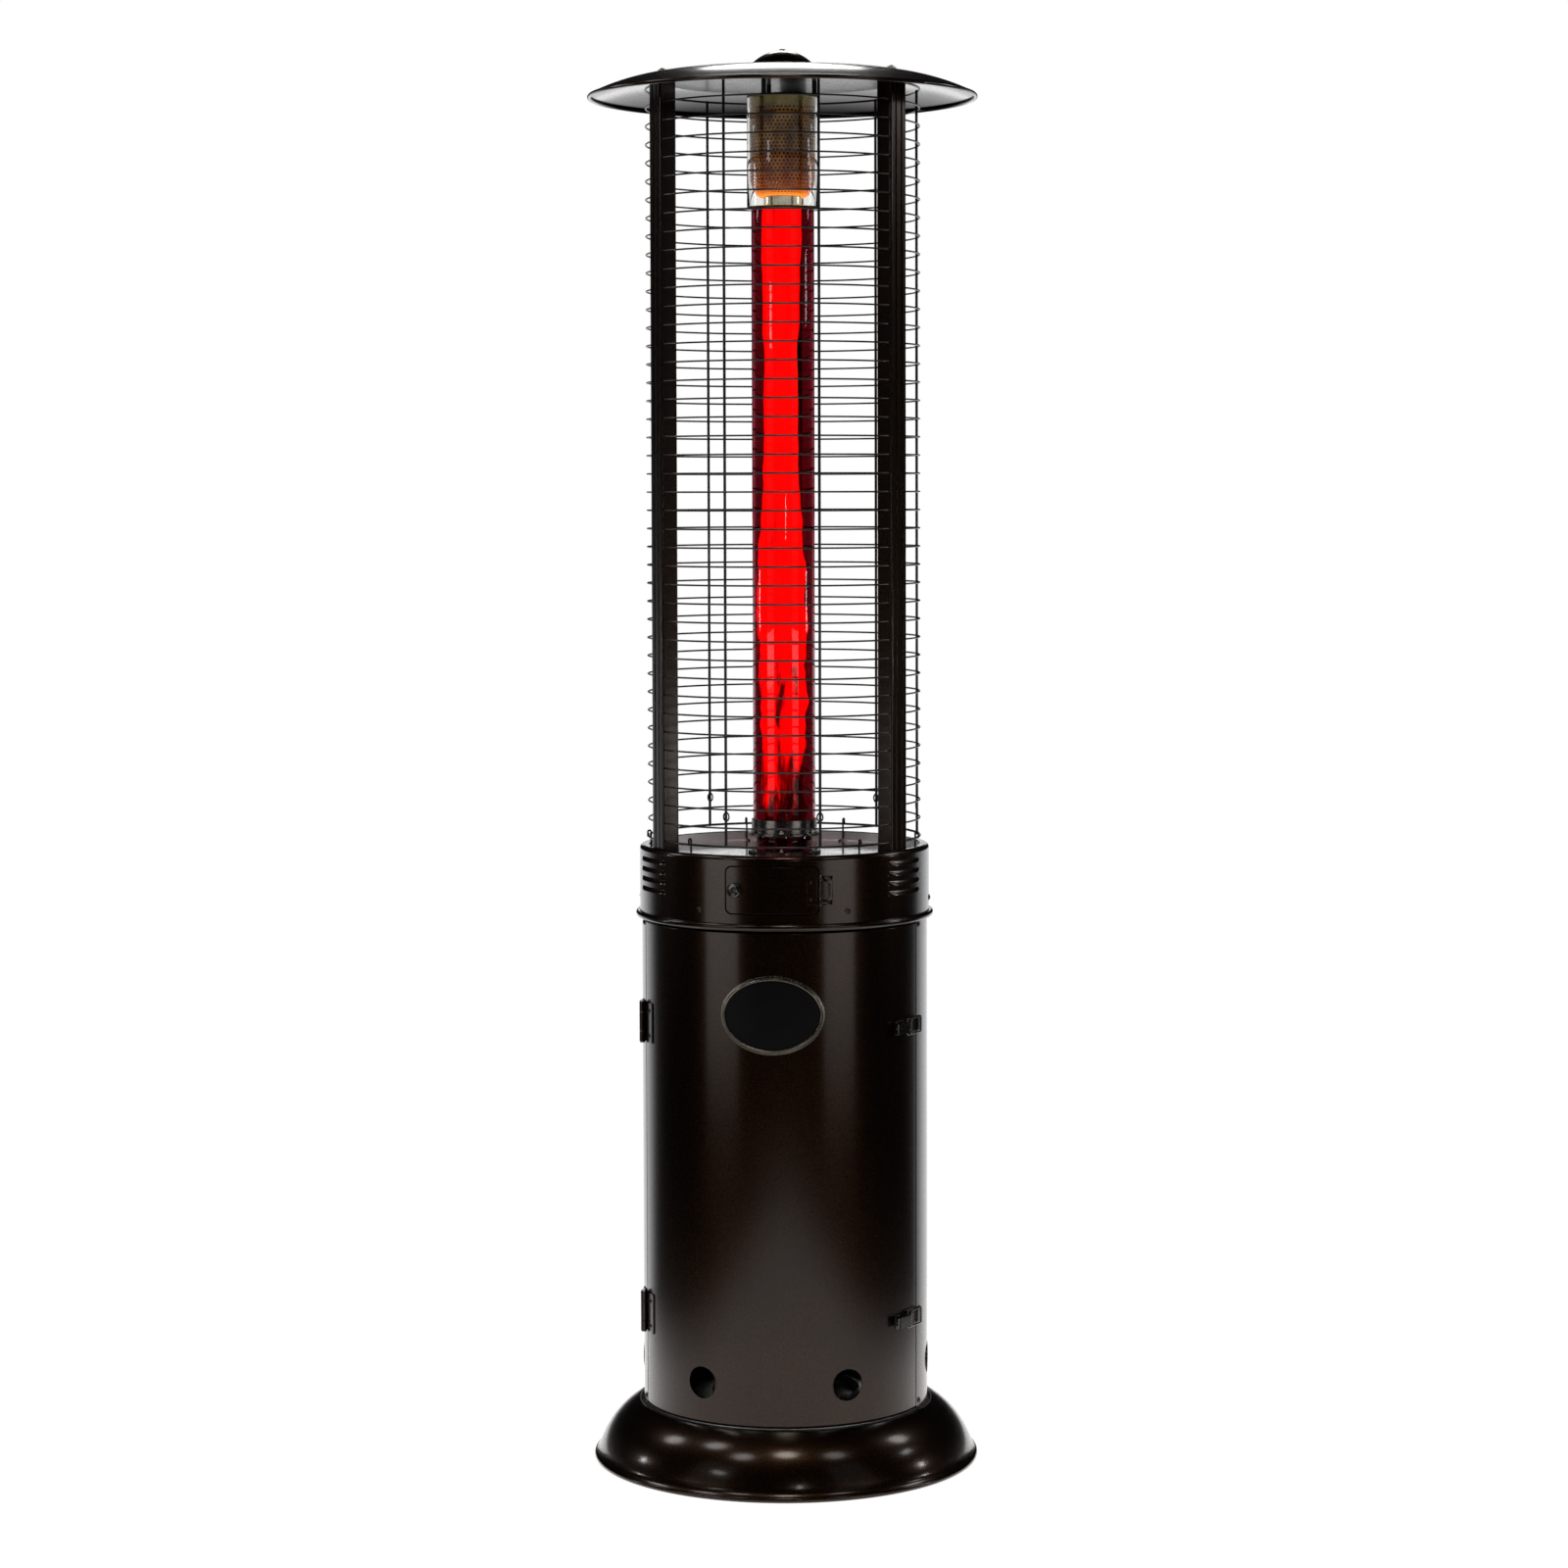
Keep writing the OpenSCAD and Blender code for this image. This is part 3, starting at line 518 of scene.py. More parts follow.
def turned(profile, start=-180.0, end=180.0, step=TURN_STEP):
    """A closed (radius, height) profile turned about the z axis."""
    full = end - start > 359.99
    count = max(3, round((end - start) / step))
    rings = count if full else count + 1
    verts = [polar(r, start + (end - start) * k / count, z) for k in range(rings) for r, z in profile]
    return verts, skin(rings, len(profile), full)


def lathe(profile, steps=32):
    """A (radius, outward distance) profile turned about the outward axis of the wall frame."""
    verts, faces = turned(profile, step=360 / steps)
    return [Vector((v.x, -v.z, v.y)) for v in verts], faces


def extruded(outline, z0, z1):
    return [Vector((x, y, z)) for z in (z0, z1) for x, y in outline], skin(2, len(outline))


def strip(path, thickness, z0, z1):
    """Sheet metal that follows a path in the (x, y) plane."""
    return extruded(list(path) + offset(path, thickness)[::-1], z0, z1)


def wire(points, radius, sides, closed=False):
    """A round wire along a path. An open wire has domed ends."""
    points = [Vector(p) for p in points]
    count = len(points)
    ahead = [
        (points[(i + 1) % count] - points[i - 1]) if closed
        else points[min(i + 1, count - 1)] - points[max(i - 1, 0)]
        for i in range(count)
    ]
    stations = [(p, d.normalized(), radius) for p, d in zip(points, ahead)]
    if not closed:
        first, last = stations[0], stations[-1]
        domes = [(0.5, 0.866), (0.866, 0.5), (0.98, 0.2)]
        for reach, share in domes:
            stations.insert(0, (first[0] - first[1] * radius * reach, first[1], radius * share))
            stations.append((last[0] + last[1] * radius * reach, last[1], radius * share))
    side = stations[0][1].orthogonal().normalized()
    verts = []
    for place, along, r in stations:
        side = (side - along * side.dot(along)).normalized()
        other = along.cross(side)
        for k in range(sides):
            a = 2 * math.pi * k / sides
            verts.append(place + (side * math.cos(a) + other * math.sin(a)) * r)
    return verts, skin(len(stations), sides, closed)


def ring_points(radius, start, end, z, step=TURN_STEP):
    count = max(2, math.ceil((end - start) / step))
    return [polar(radius, start + (end - start) * k / count, z) for k in range(count + 1)]


def steps_between(start, end, step):
    first = math.floor(start / step) + 1
    last = math.ceil(end / step)
    return [k * step for k in range(first, last) if start + 1e-6 < k * step < end - 1e-6]


def counter_clockwise(loop):
    area = sum(a[0] * b[1] - b[0] * a[1] for a, b in zip(loop, loop[1:] + loop[:1]))
    return loop if area > 0 else loop[::-1]


def bent_sheet(border, holes, outer, inner, columns, rows=()):
    """A sheet cut flat and then bent. outer and inner map a flat point to the sheet's two faces."""
    points, loops = [], []
    for loop in (border, *holes):
        loops.append(list(range(len(points), len(points) + len(loop))))
        points += [Vector(p) for p in counter_clockwise(list(loop))]
    us = [p[0] for p in border]
    vs = [p[1] for p in border]
    lines = [((u, min(vs)), (u, max(vs))) for u in columns]
    lines += [((min(us), v), (max(us), v)) for v in rows]
    edges = []
    for ends in lines:
        edges.append((len(points), len(points) + 1))
        points += [Vector(p) for p in ends]
    flat, _, faces, _, _, origins = delaunay_2d_cdt(points, edges, loops, 4, 1e-7)
    kept = [f for f, inside in zip(faces, origins) if list(inside) == [0]]
    uses = {}
    for face in kept:
        for a, b in zip(face, face[1:] + face[:1]):
            uses.setdefault(frozenset((a, b)), []).append((a, b))
    verts = [Vector(outer(*p)) for p in flat] + [Vector(inner(*p)) for p in flat]
    shift = len(flat)
    solid = list(map(tuple, kept))
    solid += [tuple(shift + i for i in reversed(face)) for face in kept]
    full = max(us) - min(us) > 359.99
    for (a, b), *more in uses.values():
        at_seam = abs(flat[a].x - flat[b].x) < 1e-6 and min(
            abs(flat[a].x - min(us)), abs(flat[a].x - max(us))
        ) < 1e-6
        if not more and not (full and at_seam):
            solid.append((b, a, shift + a, shift + b))
    return verts, solid


class Rolled:
    """A sheet along a (radius, height) path round the z axis, its thickness to the path's left."""

    def __init__(self, path, thickness=SHEET):
        self.outer = path
        self.inner = offset(path, thickness)
        self.lengths = [0.0]
        for a, b in zip(path, path[1:]):
            self.lengths.append(self.lengths[-1] + math.dist(a, b))

    def point(self, path, azimuth, length):
        last = len(self.lengths) - 2
        i = next((k for k in range(last) if length <= self.lengths[k + 1]), last)
        share = (length - self.lengths[i]) / (self.lengths[i + 1] - self.lengths[i])
        a, b = path[i], path[i + 1]
        return polar(a[0] + (b[0] - a[0]) * share, azimuth, a[1] + (b[1] - a[1]) * share)

    def length_at(self, z):
        """How far along the path the height z comes, on its longest straight stretch."""
        steps = [b - a for a, b in zip(self.lengths, self.lengths[1:])]
        i = steps.index(max(steps))
        return self.lengths[i] + (z - self.outer[i][1])

    def hole(self, outline, azimuth, z, radius):
        """A hole of that outline, cut straight through the wall at an azimuth and height."""
        base = self.length_at(z)
        return [(azimuth + math.degrees(math.asin(x / radius)), base + y) for x, y in outline]

    def solid(self, start=-180.0, end=180.0, holes=(), step=TURN_STEP):
        border = rectangle(start, 0, end, self.lengths[-1])
        return bent_sheet(
            border,
            holes,
            lambda u, v: self.point(self.outer, u, v),
            lambda u, v: self.point(self.inner, u, v),
            steps_between(start, end, step),
            self.lengths[1:-1],
        )


def wall_plate(outline, azimuth, z, inner_r, outer_r, holes=(), crown=0.0):
    """A plate bent round the wall. Its outline is seen from the front, about its own centre."""
    def around(loop):
        return [(azimuth + math.degrees(math.asin(x / outer_r)), z + y) for x, y in loop]

    border = around(outline)
    us = [p[0] for p in border]
    reach = max(abs(y) for _, y in outline)
    rows = [z + reach * k / 6 for k in range(-5, 6)] if crown else []
    half = (max(us) - min(us)) / 2

    def outer(u, v):
        off = ((u - azimuth) / half) ** 2 + ((v - z) / reach) ** 2
        return polar(outer_r + crown * max(0.0, 1 - off), u, v)

    return bent_sheet(
        border,
        [around(h) for h in holes],
        outer,
        lambda u, v: polar(inner_r, u, v),
        steps_between(min(us), max(us), TURN_STEP / 2),
        rows,
    )


def sector(start, end, r0, r1, z0, z1):
    """A block between two azimuths, radii and heights."""
    return turned(rectangle(r0, z0, r1, z1), start, end)


def wall_frame(azimuth, radius, z):
    """The wall's own frame: x runs round the wall, -y points outward and z up."""
    turn = Matrix.Rotation(math.radians(azimuth), 4, "Z")
    return turn @ Matrix.Translation((0, -radius, z))


# ---------------------------------------------------------------- pieces

def clean_mesh(name, solid, thin_faces=True):
    """A mesh with its doubled points joined and its faces turned outward."""
    verts, faces = solid
    mesh = bpy.data.meshes.new(name)
    mesh.from_pydata([tuple(v) for v in verts], [], faces)
    bm = bmesh.new()
    bm.from_mesh(mesh)
    bmesh.ops.remove_doubles(bm, verts=bm.verts, dist=0.002 * MM)
    if thin_faces:
        bmesh.ops.dissolve_degenerate(bm, edges=bm.edges, dist=0.002 * MM)
    bmesh.ops.recalc_face_normals(bm, faces=bm.faces)
    bm.to_mesh(mesh)
    bm.free()
    return mesh


class Piece:
    """Gathers solids into one named piece."""

    def __init__(self):
        self.verts = []
        self.faces = []

    def add(self, solid, matrix=None):
        verts, faces = solid
        base = len(self.verts)
        self.verts += [matrix @ v for v in verts] if matrix else verts
        self.faces += [tuple(base + i for i in face) for face in faces]
        return self

    def finish(self, name, slot, body="root", replaces=(), bevel=0.3, sharp=30, material=None):
        """Makes the object. bevel is the width of its rounded edges in millimetres, or 0."""
        mesh = clean_mesh(name, (self.verts, self.faces))
        mesh.shade_smooth()
        mesh.materials.append(material or MATERIALS[slot])
        obj = link(bpy.data.objects.new(name, mesh))
        if bevel:
            round_edges(obj, bevel)
        else:
            mesh.set_sharp_from_angle(angle=math.radians(sharp))
        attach(obj, body)
        if replaces:
            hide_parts(*replaces)
        return obj


def plain_piece(name, slot, solid, *replaces, **looks):
    """A piece of one solid, with no bevel."""
    looks = {"bevel": 0, "sharp": 50, **looks}
    Piece().add(solid).finish(name, slot, replaces=replaces, **looks)


def round_edges(obj, width_mm):
    bevel = obj.modifiers.new("round_edges", "BEVEL")
    bevel.width = width_mm * MM
    bevel.segments = 2
    bevel.limit_method = "ANGLE"
    bevel.angle_limit = math.radians(35)
    bevel.use_clamp_overlap = True
    normals = obj.modifiers.new("face_normals", "WEIGHTED_NORMAL")
    normals.keep_sharp = True
    normals.weight = 80


def carved(solid, *cutters):
    """The solid with the cutters taken out of it."""
    made = [
        link(bpy.data.objects.new("scratch", clean_mesh("scratch", part, thin_faces=False)))
        for part in (solid, *cutters)
    ]
    target = made[0]
    for cutter in made[1:]:
        cut = target.modifiers.new("cut", "BOOLEAN")
        cut.operation = "DIFFERENCE"
        cut.object = cutter
        cut.solver = "EXACT"
    evaluated = target.evaluated_get(bpy.context.evaluated_depsgraph_get())
    shape = evaluated.to_mesh()
    result = [v.co.copy() for v in shape.vertices], [tuple(p.vertices) for p in shape.polygons]
    evaluated.to_mesh_clear()
    for obj in made:
        bpy.data.meshes.remove(obj.data)
    return result


def block(x0, x1, y0, y1, z0, z1):
    return extruded([(x0, y0), (x1, y0), (x1, y1), (x0, y1)], z0, z1)


def pan_head():
    """A pan-head screw with a cross recess, pointing outward."""
    r = 4.4 * MM
    dome = [(0, 2.35 * MM)] + arc((0, -2.2 * MM), 4.55 * MM, 84, 46, 6)
    profile = [(0, 0), (r, 0), (r, 0.7 * MM), (r - 0.3 * MM, 1.0 * MM)] + dome[::-1]
    head = lathe(profile, 24)
    arm, half, floor = 2.4 * MM, 0.45 * MM, -1.2 * MM
    return carved(
        head,
        block(-arm, arm, -4 * MM, floor, -half, half),
        block(-half, half, -4 * MM, floor, -arm, arm),
    )


def rivet(radius=2.2 * MM, height=1.2 * MM):
    shoulder = [(radius * 0.92, height * 0.5), (radius * 0.6, height * 0.9)]
    return lathe([(0, 0), (radius, 0), *shoulder, (0, height)], 18)


SCREW = pan_head()
CUT_EDGE = 0.35      # millimetres of rounding on a cut sheet edge


# ---- base

def make_base():
    bead = 4 * MM
    dome_r = 118 * MM
    dome_centre = (BASE_R - 120 * MM, BASE_H - 105 * MM)
    dome_top = 62.8
    lip = 2.6 * MM
    end = arc(dome_centre, dome_r, dome_top, dome_top, 1)[0]
    lip_centre = (
        end[0] - lip * math.cos(math.radians(dome_top)),
        end[1] - lip * math.sin(math.radians(dome_top)),
    )
    path = arc((BASE_R - bead, bead), bead, -170, 78, 18)
    path += arc(dome_centre, dome_r, 18.3, dome_top, 22)
    path += arc(lip_centre, lip, dome_top + 12, 180, 8)
    path.append((path[-1][0], BASE_H - 12 * MM))
    plain_piece("base_dome", "gloss_paint", Rolled(path).solid(), "base_cover")


# ---- cabinet

def vent_outline():
    return ellipse(2 * VENT_R, 2 * VENT_R, 48)


def vent_lips(azimuths):
    """Short inward lips round the vent holes."""
    section = [(0.0, 0.1), (-0.1, -2.6), (0.9, -2.6), (1.0, -0.9)]
    lip = lathe([(VENT_R + r * MM, h * MM) for r, h in section], 48)
    return [(lip, wall_frame(azimuth, CAB_R, VENT_Z)) for azimuth in azimuths]


def make_cabinet():
    shell_path = Rolled([(CAB_R, CAB_LOW), (CAB_R, CAB_HIGH)])
    rear_vents = (90, 150, 210, 270)
    holes = [shell_path.hole(vent_outline(), a, VENT_Z, CAB_R) for a in rear_vents]
    shell = Piece().add(shell_path.solid(70.4, 289.6, holes))
    for lip, at in vent_lips(rear_vents):
        shell.add(lip, at)
    shell.finish("cabinet_wall", "gloss_paint", replaces=["cabinet_shell"], bevel=CUT_EDGE)

    inner = CAB_R - 10 * MM
    door_path = Rolled(rounded(
        [(inner, DOOR_LOW), (CAB_R, DOOR_LOW), (CAB_R, DOOR_HIGH), (inner, DOOR_HIGH)],
        [0, 1.6 * MM, 1.6 * MM, 0], closed=False,
    ))
    door_vents = (-30, 30)
    holes = [door_path.hole(vent_outline(), a, VENT_Z, CAB_R) for a in door_vents]
    door = Piece().add(door_path.solid(-DOOR_HALF, DOOR_HALF, holes))
    for lip, at in vent_lips(door_vents):
        door.add(lip, at)
    side_fold = (CAB_R - 13 * MM, CAB_R - SHEET, DOOR_LOW + 1.4 * MM, DOOR_HIGH - 1.4 * MM)
    for a in (-DOOR_HALF, DOOR_HALF - 0.4):
        door.add(sector(a, a + 0.4, *side_fold))
    door.finish("door_panel", "gloss_paint", "cabinet_door", ["cabinet_door"], CUT_EDGE)


def make_badge():
    """Oval frame with a flat flange and a raised bead, round a blank crowned plate."""
    section = [(3.0, 0.0), (3.0, 1.2), (2.6, 1.6), (-0.2, 1.7), (-0.6, 2.6), (-1.4, 3.4), (-2.6, 3.4),
               (-3.4, 2.7), (-3.6, 1.2), (-3.6, 0.0)]
    count = 128
    verts = []
    for k in range(count):
        a = 2 * math.pi * k / count
        along = Vector((-BADGE_W * math.sin(a), BADGE_H * math.cos(a))).normalized()
        centre = Vector(((BADGE_W / 2 - 3 * MM) * math.cos(a), (BADGE_H / 2 - 3 * MM) * math.sin(a)))
        for out, rise in section:
            x = centre.x + along.y * out * MM
            z = centre.y - along.x * out * MM
            verts.append(polar(CAB_R + rise * MM, math.degrees(math.asin(x / CAB_R)), BADGE_Z + z))
    ring = Piece().add((verts, skin(count, len(section), closed=True)))
    ring.finish("badge_ring", "gloss_paint", "cabinet_door", ["badge_frame"], bevel=0.25, material=RING_SATIN)
    margin = 12.8 * MM
    plate = wall_plate(
        ellipse(BADGE_W - margin, BADGE_H - margin), 0, BADGE_Z, CAB_R, CAB_R + 1.0 * MM, crown=0.8 * MM
    )
    plain_piece("badge_face", "badge_black", plate, "badge_plate", body="cabinet_door", sharp=40)


def make_screws():
    screws = Piece()
    for azimuth in (-73, 73):
        for z in (CAB_LOW + 9 * MM, CAB_HIGH - 5 * MM):
            screws.add(SCREW, wall_frame(azimuth, CAB_R, z))
    for azimuth in (-30, 30, -90, 90, -150, 150):
        screws.add(SCREW, wall_frame(azimuth, COLLAR_R, COLLAR_LOW + 27 * MM))
    screws.finish("cabinet_screws", "gloss_paint", replaces=["sheet_screws"], bevel=0.15)


# ---- hinges and latches

HINGE_AZIMUTH = -70.1
HINGE_R = CAB_R + 5.6 * MM
LATCH_AZIMUTH = 59.0
STRIKE_AZIMUTH = 71.9


def knuckle(z0, z1, outer=4.4 * MM, bore=2.25 * MM):
    section = [(bore, z0), (outer, z0), (outer, z1), (bore, z1)]
    return turned(rounded(section, [0, 0.6 * MM, 0.6 * MM, 0]), step=15)


def make_hinges():
    leaf_r = CAB_R + 1.8 * MM
    leaf_shift, screw_shift = 5.3, 6.3      # degrees from the pin
    half = 29 * MM
    pin = wall_frame(HINGE_AZIMUTH, HINGE_R, 0)
    fixed, moving = Piece(), Piece()
    for z in (UPPER_Z, LOWER_Z):
        for piece, side in ((fixed, -1), (moving, 1)):
            centre = HINGE_AZIMUTH + side * leaf_shift
            plate = rectangle(-12.6 * MM, -half, 12.6 * MM, half, 3 * MM)
            piece.add(wall_plate(plate, centre, z, CAB_R, leaf_r))
            for dz in (-18 * MM, 18 * MM):
                at = wall_frame(HINGE_AZIMUTH + side * screw_shift, leaf_r - 0.2 * MM, z + dz)
                piece.add(SCREW, at @ Matrix.Scale(0.72, 4))
        ends = [(z - half, z - half + 15 * MM), (z + half - 15 * MM, z + half)]
        mid = (z - half + 15.3 * MM, z + half - 15.3 * MM)
        for piece, spans, start in ((fixed, ends, -2.2), (moving, [mid], 0.35)):
            for z0, z1 in spans:
                piece.add(knuckle(z0, z1), pin)
                strap = (HINGE_AZIMUTH + start, HINGE_AZIMUTH + start + 1.85, CAB_R, leaf_r)
                piece.add(sector(*strap, z0 + 0.5 * MM, z1 - 0.5 * MM))
    fixed.finish("hinge_leaves_fixed", "gloss_paint", replaces=["fixed_hinge_leaves"], bevel=0.3)
    moving.finish("hinge_leaves_door", "gloss_paint", "cabinet_door", ["door_hinge_leaves"], 0.3)


def make_latch(z, name):
    """Draw latch: a stamped lever with a curled tail, and a wire bail that hooks the strike."""
    wall = wall_frame(LATCH_AZIMUTH, CAB_R, z)
    half = 7.7 * MM
    curl = arc((-23 * MM, -10.2 * MM), 1.9 * MM, -75, 150, 12)
    back = mm([(6.4, -6.6), (6.0, -8.8), (-17, -8.8), (-21.5, -8.6)])
    back = rounded(back, [0, 1.2 * MM, 2 * MM, 0], closed=False)
    lever = Piece().add(strip(back + curl, 1.2 * MM, -half, half), wall)
    ear = rounded(
        [(-12, -8.2), (6, -8.2), (16.2, -7.6), (16.2, -3.0), (10, -3.0), (-6, -3.6)],
        [1.2, 2.0, 2.6, 2.6, 1.6, 2.0],
    )
    for side in (-1, 1):
        mid = side * (half - 0.7 * MM)
        lever.add(extruded(mm(ear), mid - 0.7 * MM, mid + 0.7 * MM), wall)
    lever.finish(name + "_lever_pressing", "dark_nickel", name + "_lever", [name + "_latch_lever"], 0.25)

    reach = math.radians(STRIKE_AZIMUTH - LATCH_AZIMUTH)
    lifted = CAB_R + 5.2 * MM
    start = Vector((4 * MM, -6 * MM))
    end = Vector((lifted * math.sin(reach), CAB_R - lifted * math.cos(reach)))
    along = (end - start).normalized()
    side = 11.1 * MM
    corners = rectangle(0, -side, (end - start).length, side, 2.4 * MM)
    loop = [(start.x + u * along.x, start.y + u * along.y, v) for u, v in corners]
    bail = Piece().add(wire(loop, 1.2 * MM, 12, closed=True), wall)
    bail.finish(name + "_bail_wire", "dark_nickel", name + "_bail", [name + "_latch_bail"], 0, 60)


def make_latch_plates():
    bases, strikes = Piece(), Piece()
    for z in (UPPER_Z, LOWER_Z):
        wall = wall_frame(LATCH_AZIMUTH, CAB_R, z)
        outline = rectangle(-18 * MM, -10 * MM, 18 * MM, 10 * MM, 2.5 * MM)
        bases.add(wall_plate(outline, LATCH_AZIMUTH, z, CAB_R, CAB_R + 1.5 * MM))
        ear = rounded([(9, -1), (16.5, -1), (16.5, -7.5), (13, -9.2), (9.5, -7.5)], [0.4, 0.4, 3, 3, 3])
        for side in (-1, 1):
            mid = side * 8.75 * MM
            bases.add(extruded(mm(ear), mid - 0.75 * MM, mid + 0.75 * MM), wall)
        pin = mm([(13, -6, v) for v in (-9.9, -5, 0, 5, 9.9)])
        bases.add(wire(pin, 1.5 * MM, 14), wall)
        for x in (-13.5 * MM, 2 * MM):
            bases.add(rivet(), wall_frame(LATCH_AZIMUTH + math.degrees(x / CAB_R), CAB_R + 1.4 * MM, z))
        strike = wall_frame(STRIKE_AZIMUTH, CAB_R, z)
        hook = rounded(
            [(9.5, -0.1), (-2.6, -0.1), (-2.6, -2.2), (-1.6, -3.6), (0.6, -3.4)],
            [0, 0.8, 0.8, 0.8, 0], closed=False,
        )
        strikes.add(strip(mm(hook), -1.3 * MM, -9 * MM, 9 * MM), strike)
        outline = rectangle(-4.5 * MM, -11 * MM, 9.5 * MM, 11 * MM, 2 * MM)
        strikes.add(wall_plate(outline, STRIKE_AZIMUTH, z, CAB_R, CAB_R + 1.3 * MM))
        for dz in (-7.5 * MM, 7.5 * MM):
            at = wall_frame(STRIKE_AZIMUTH + 1.8, CAB_R + 1.2 * MM, z + dz)
            strikes.add(rivet(1.8 * MM, 1.0 * MM), at)
    bases.finish("latch_brackets", "dark_nickel", "cabinet_door", ["latch_bases"], 0.25)
    strikes.finish("strike_hooks", "dark_nickel", replaces=["latch_strikes"], bevel=0.2)


# ---- collar

LOUVRE_HALF = 11.5


def louvre_hood(azimuth, z, rise=3.0 * MM, drop=7.0 * MM):
    """A pressed hood above a slot: it leans out from its upper edge and fades at its ends."""
    across, down = 36, 8
    verts, faces = [], []
    for inset in (0.0, 0.9 * MM):
        for i in range(across + 1):
            u = 2 * i / across - 1
            swell = max(0.0, 1 - abs(u) ** 5) ** 0.5
            for j in range(down + 1):
                v = j / down
                bulge = rise * swell * math.sin(math.pi / 2 * v) ** 1.3
                r = COLLAR_R - 0.5 * MM + min(0.6 * MM, bulge * 2) + bulge - inset
                verts.append(polar(r, azimuth + u * LOUVRE_HALF, z + 4.0 * MM - v * drop))
    layer = (across + 1) * (down + 1)
    for i in range(across):
        for j in range(down):
            a = i * (down + 1) + j
            b = a + down + 1
            faces += [(a, b, b + 1, a + 1), (layer + a, layer + a + 1, layer + b + 1, layer + b)]
    rim = [i * (down + 1) for i in range(across + 1)]
    rim += [across * (down + 1) + j for j in range(1, down + 1)]
    rim += [i * (down + 1) + down for i in range(across - 1, -1, -1)]
    rim += [j for j in range(down - 1, 0, -1)]
    faces += [(a, b, layer + b, layer + a) for a, b in zip(rim, rim[1:] + rim[:1])]
    return verts, faces


def make_collar():
    inner, lip = COLLAR_R - 13.4 * MM, COLLAR_R - 19 * MM
    sheet = Rolled(rounded(
        [(lip, COLLAR_LOW), (COLLAR_R, COLLAR_LOW), (COLLAR_R, COLLAR_HIGH), (inner, COLLAR_HIGH),
         (inner, DECK_Z - SHEET), (lip, DECK_Z - SHEET)],
        [radius * MM for radius in (0, 1.5, 11, 1.1, 1.0, 0)], closed=False, steps=8,
    ))
    hatch_w = 2 * COLLAR_R * math.sin(math.radians(HATCH_HALF)) + 3.4 * MM
    gap = 1.7 * MM
    opening = rectangle(-hatch_w / 2, -HATCH_H / 2 - gap, hatch_w / 2, HATCH_H / 2 + gap, 9 * MM, 8)
    holes = [sheet.hole(opening, 0, HATCH_Z, COLLAR_R)]
    collar = Piece()
    slot_half = COLLAR_R * math.sin(math.radians(LOUVRE_HALF - 0.8))
    slot = rectangle(-slot_half, -1.5 * MM, slot_half, 1.5 * MM, 1.45 * MM, 4)
    for azimuth in POST_AZIMUTHS.values():
        for i in range(4):
            z = DECK_Z - (3 + 14 * i) * MM
            holes.append(sheet.hole(slot, azimuth, z, COLLAR_R))
            collar.add(louvre_hood(azimuth, z))
    turn = 60.0
    collar.add(sheet.solid(-180 + turn, 180 + turn, holes))
    collar.finish("collar_sheet", "gloss_paint", replaces=["collar"], bevel=CUT_EDGE)

    rim_r, rim_low = inner - 0.9 * MM, DECK_Z + 0.1 * MM
    rim = [(inner - 12 * MM, rim_low), (rim_r, rim_low), (rim_r, COLLAR_HIGH - 1.2 * MM)]
    rim = Rolled(rounded(rim, [0, 2 * MM, 0], closed=False), -0.7 * MM)
    plain_piece("deck_rim", "polished_deck", rim.solid(), material=SATIN_RIM)

    bead = arc((COLLAR_R + 1.5 * MM, COLLAR_LOW + 5.5 * MM), 4.5 * MM, -109, 109, 20)
    plain_piece("collar_trim", "gloss_paint", turned(bead), "collar_bead")


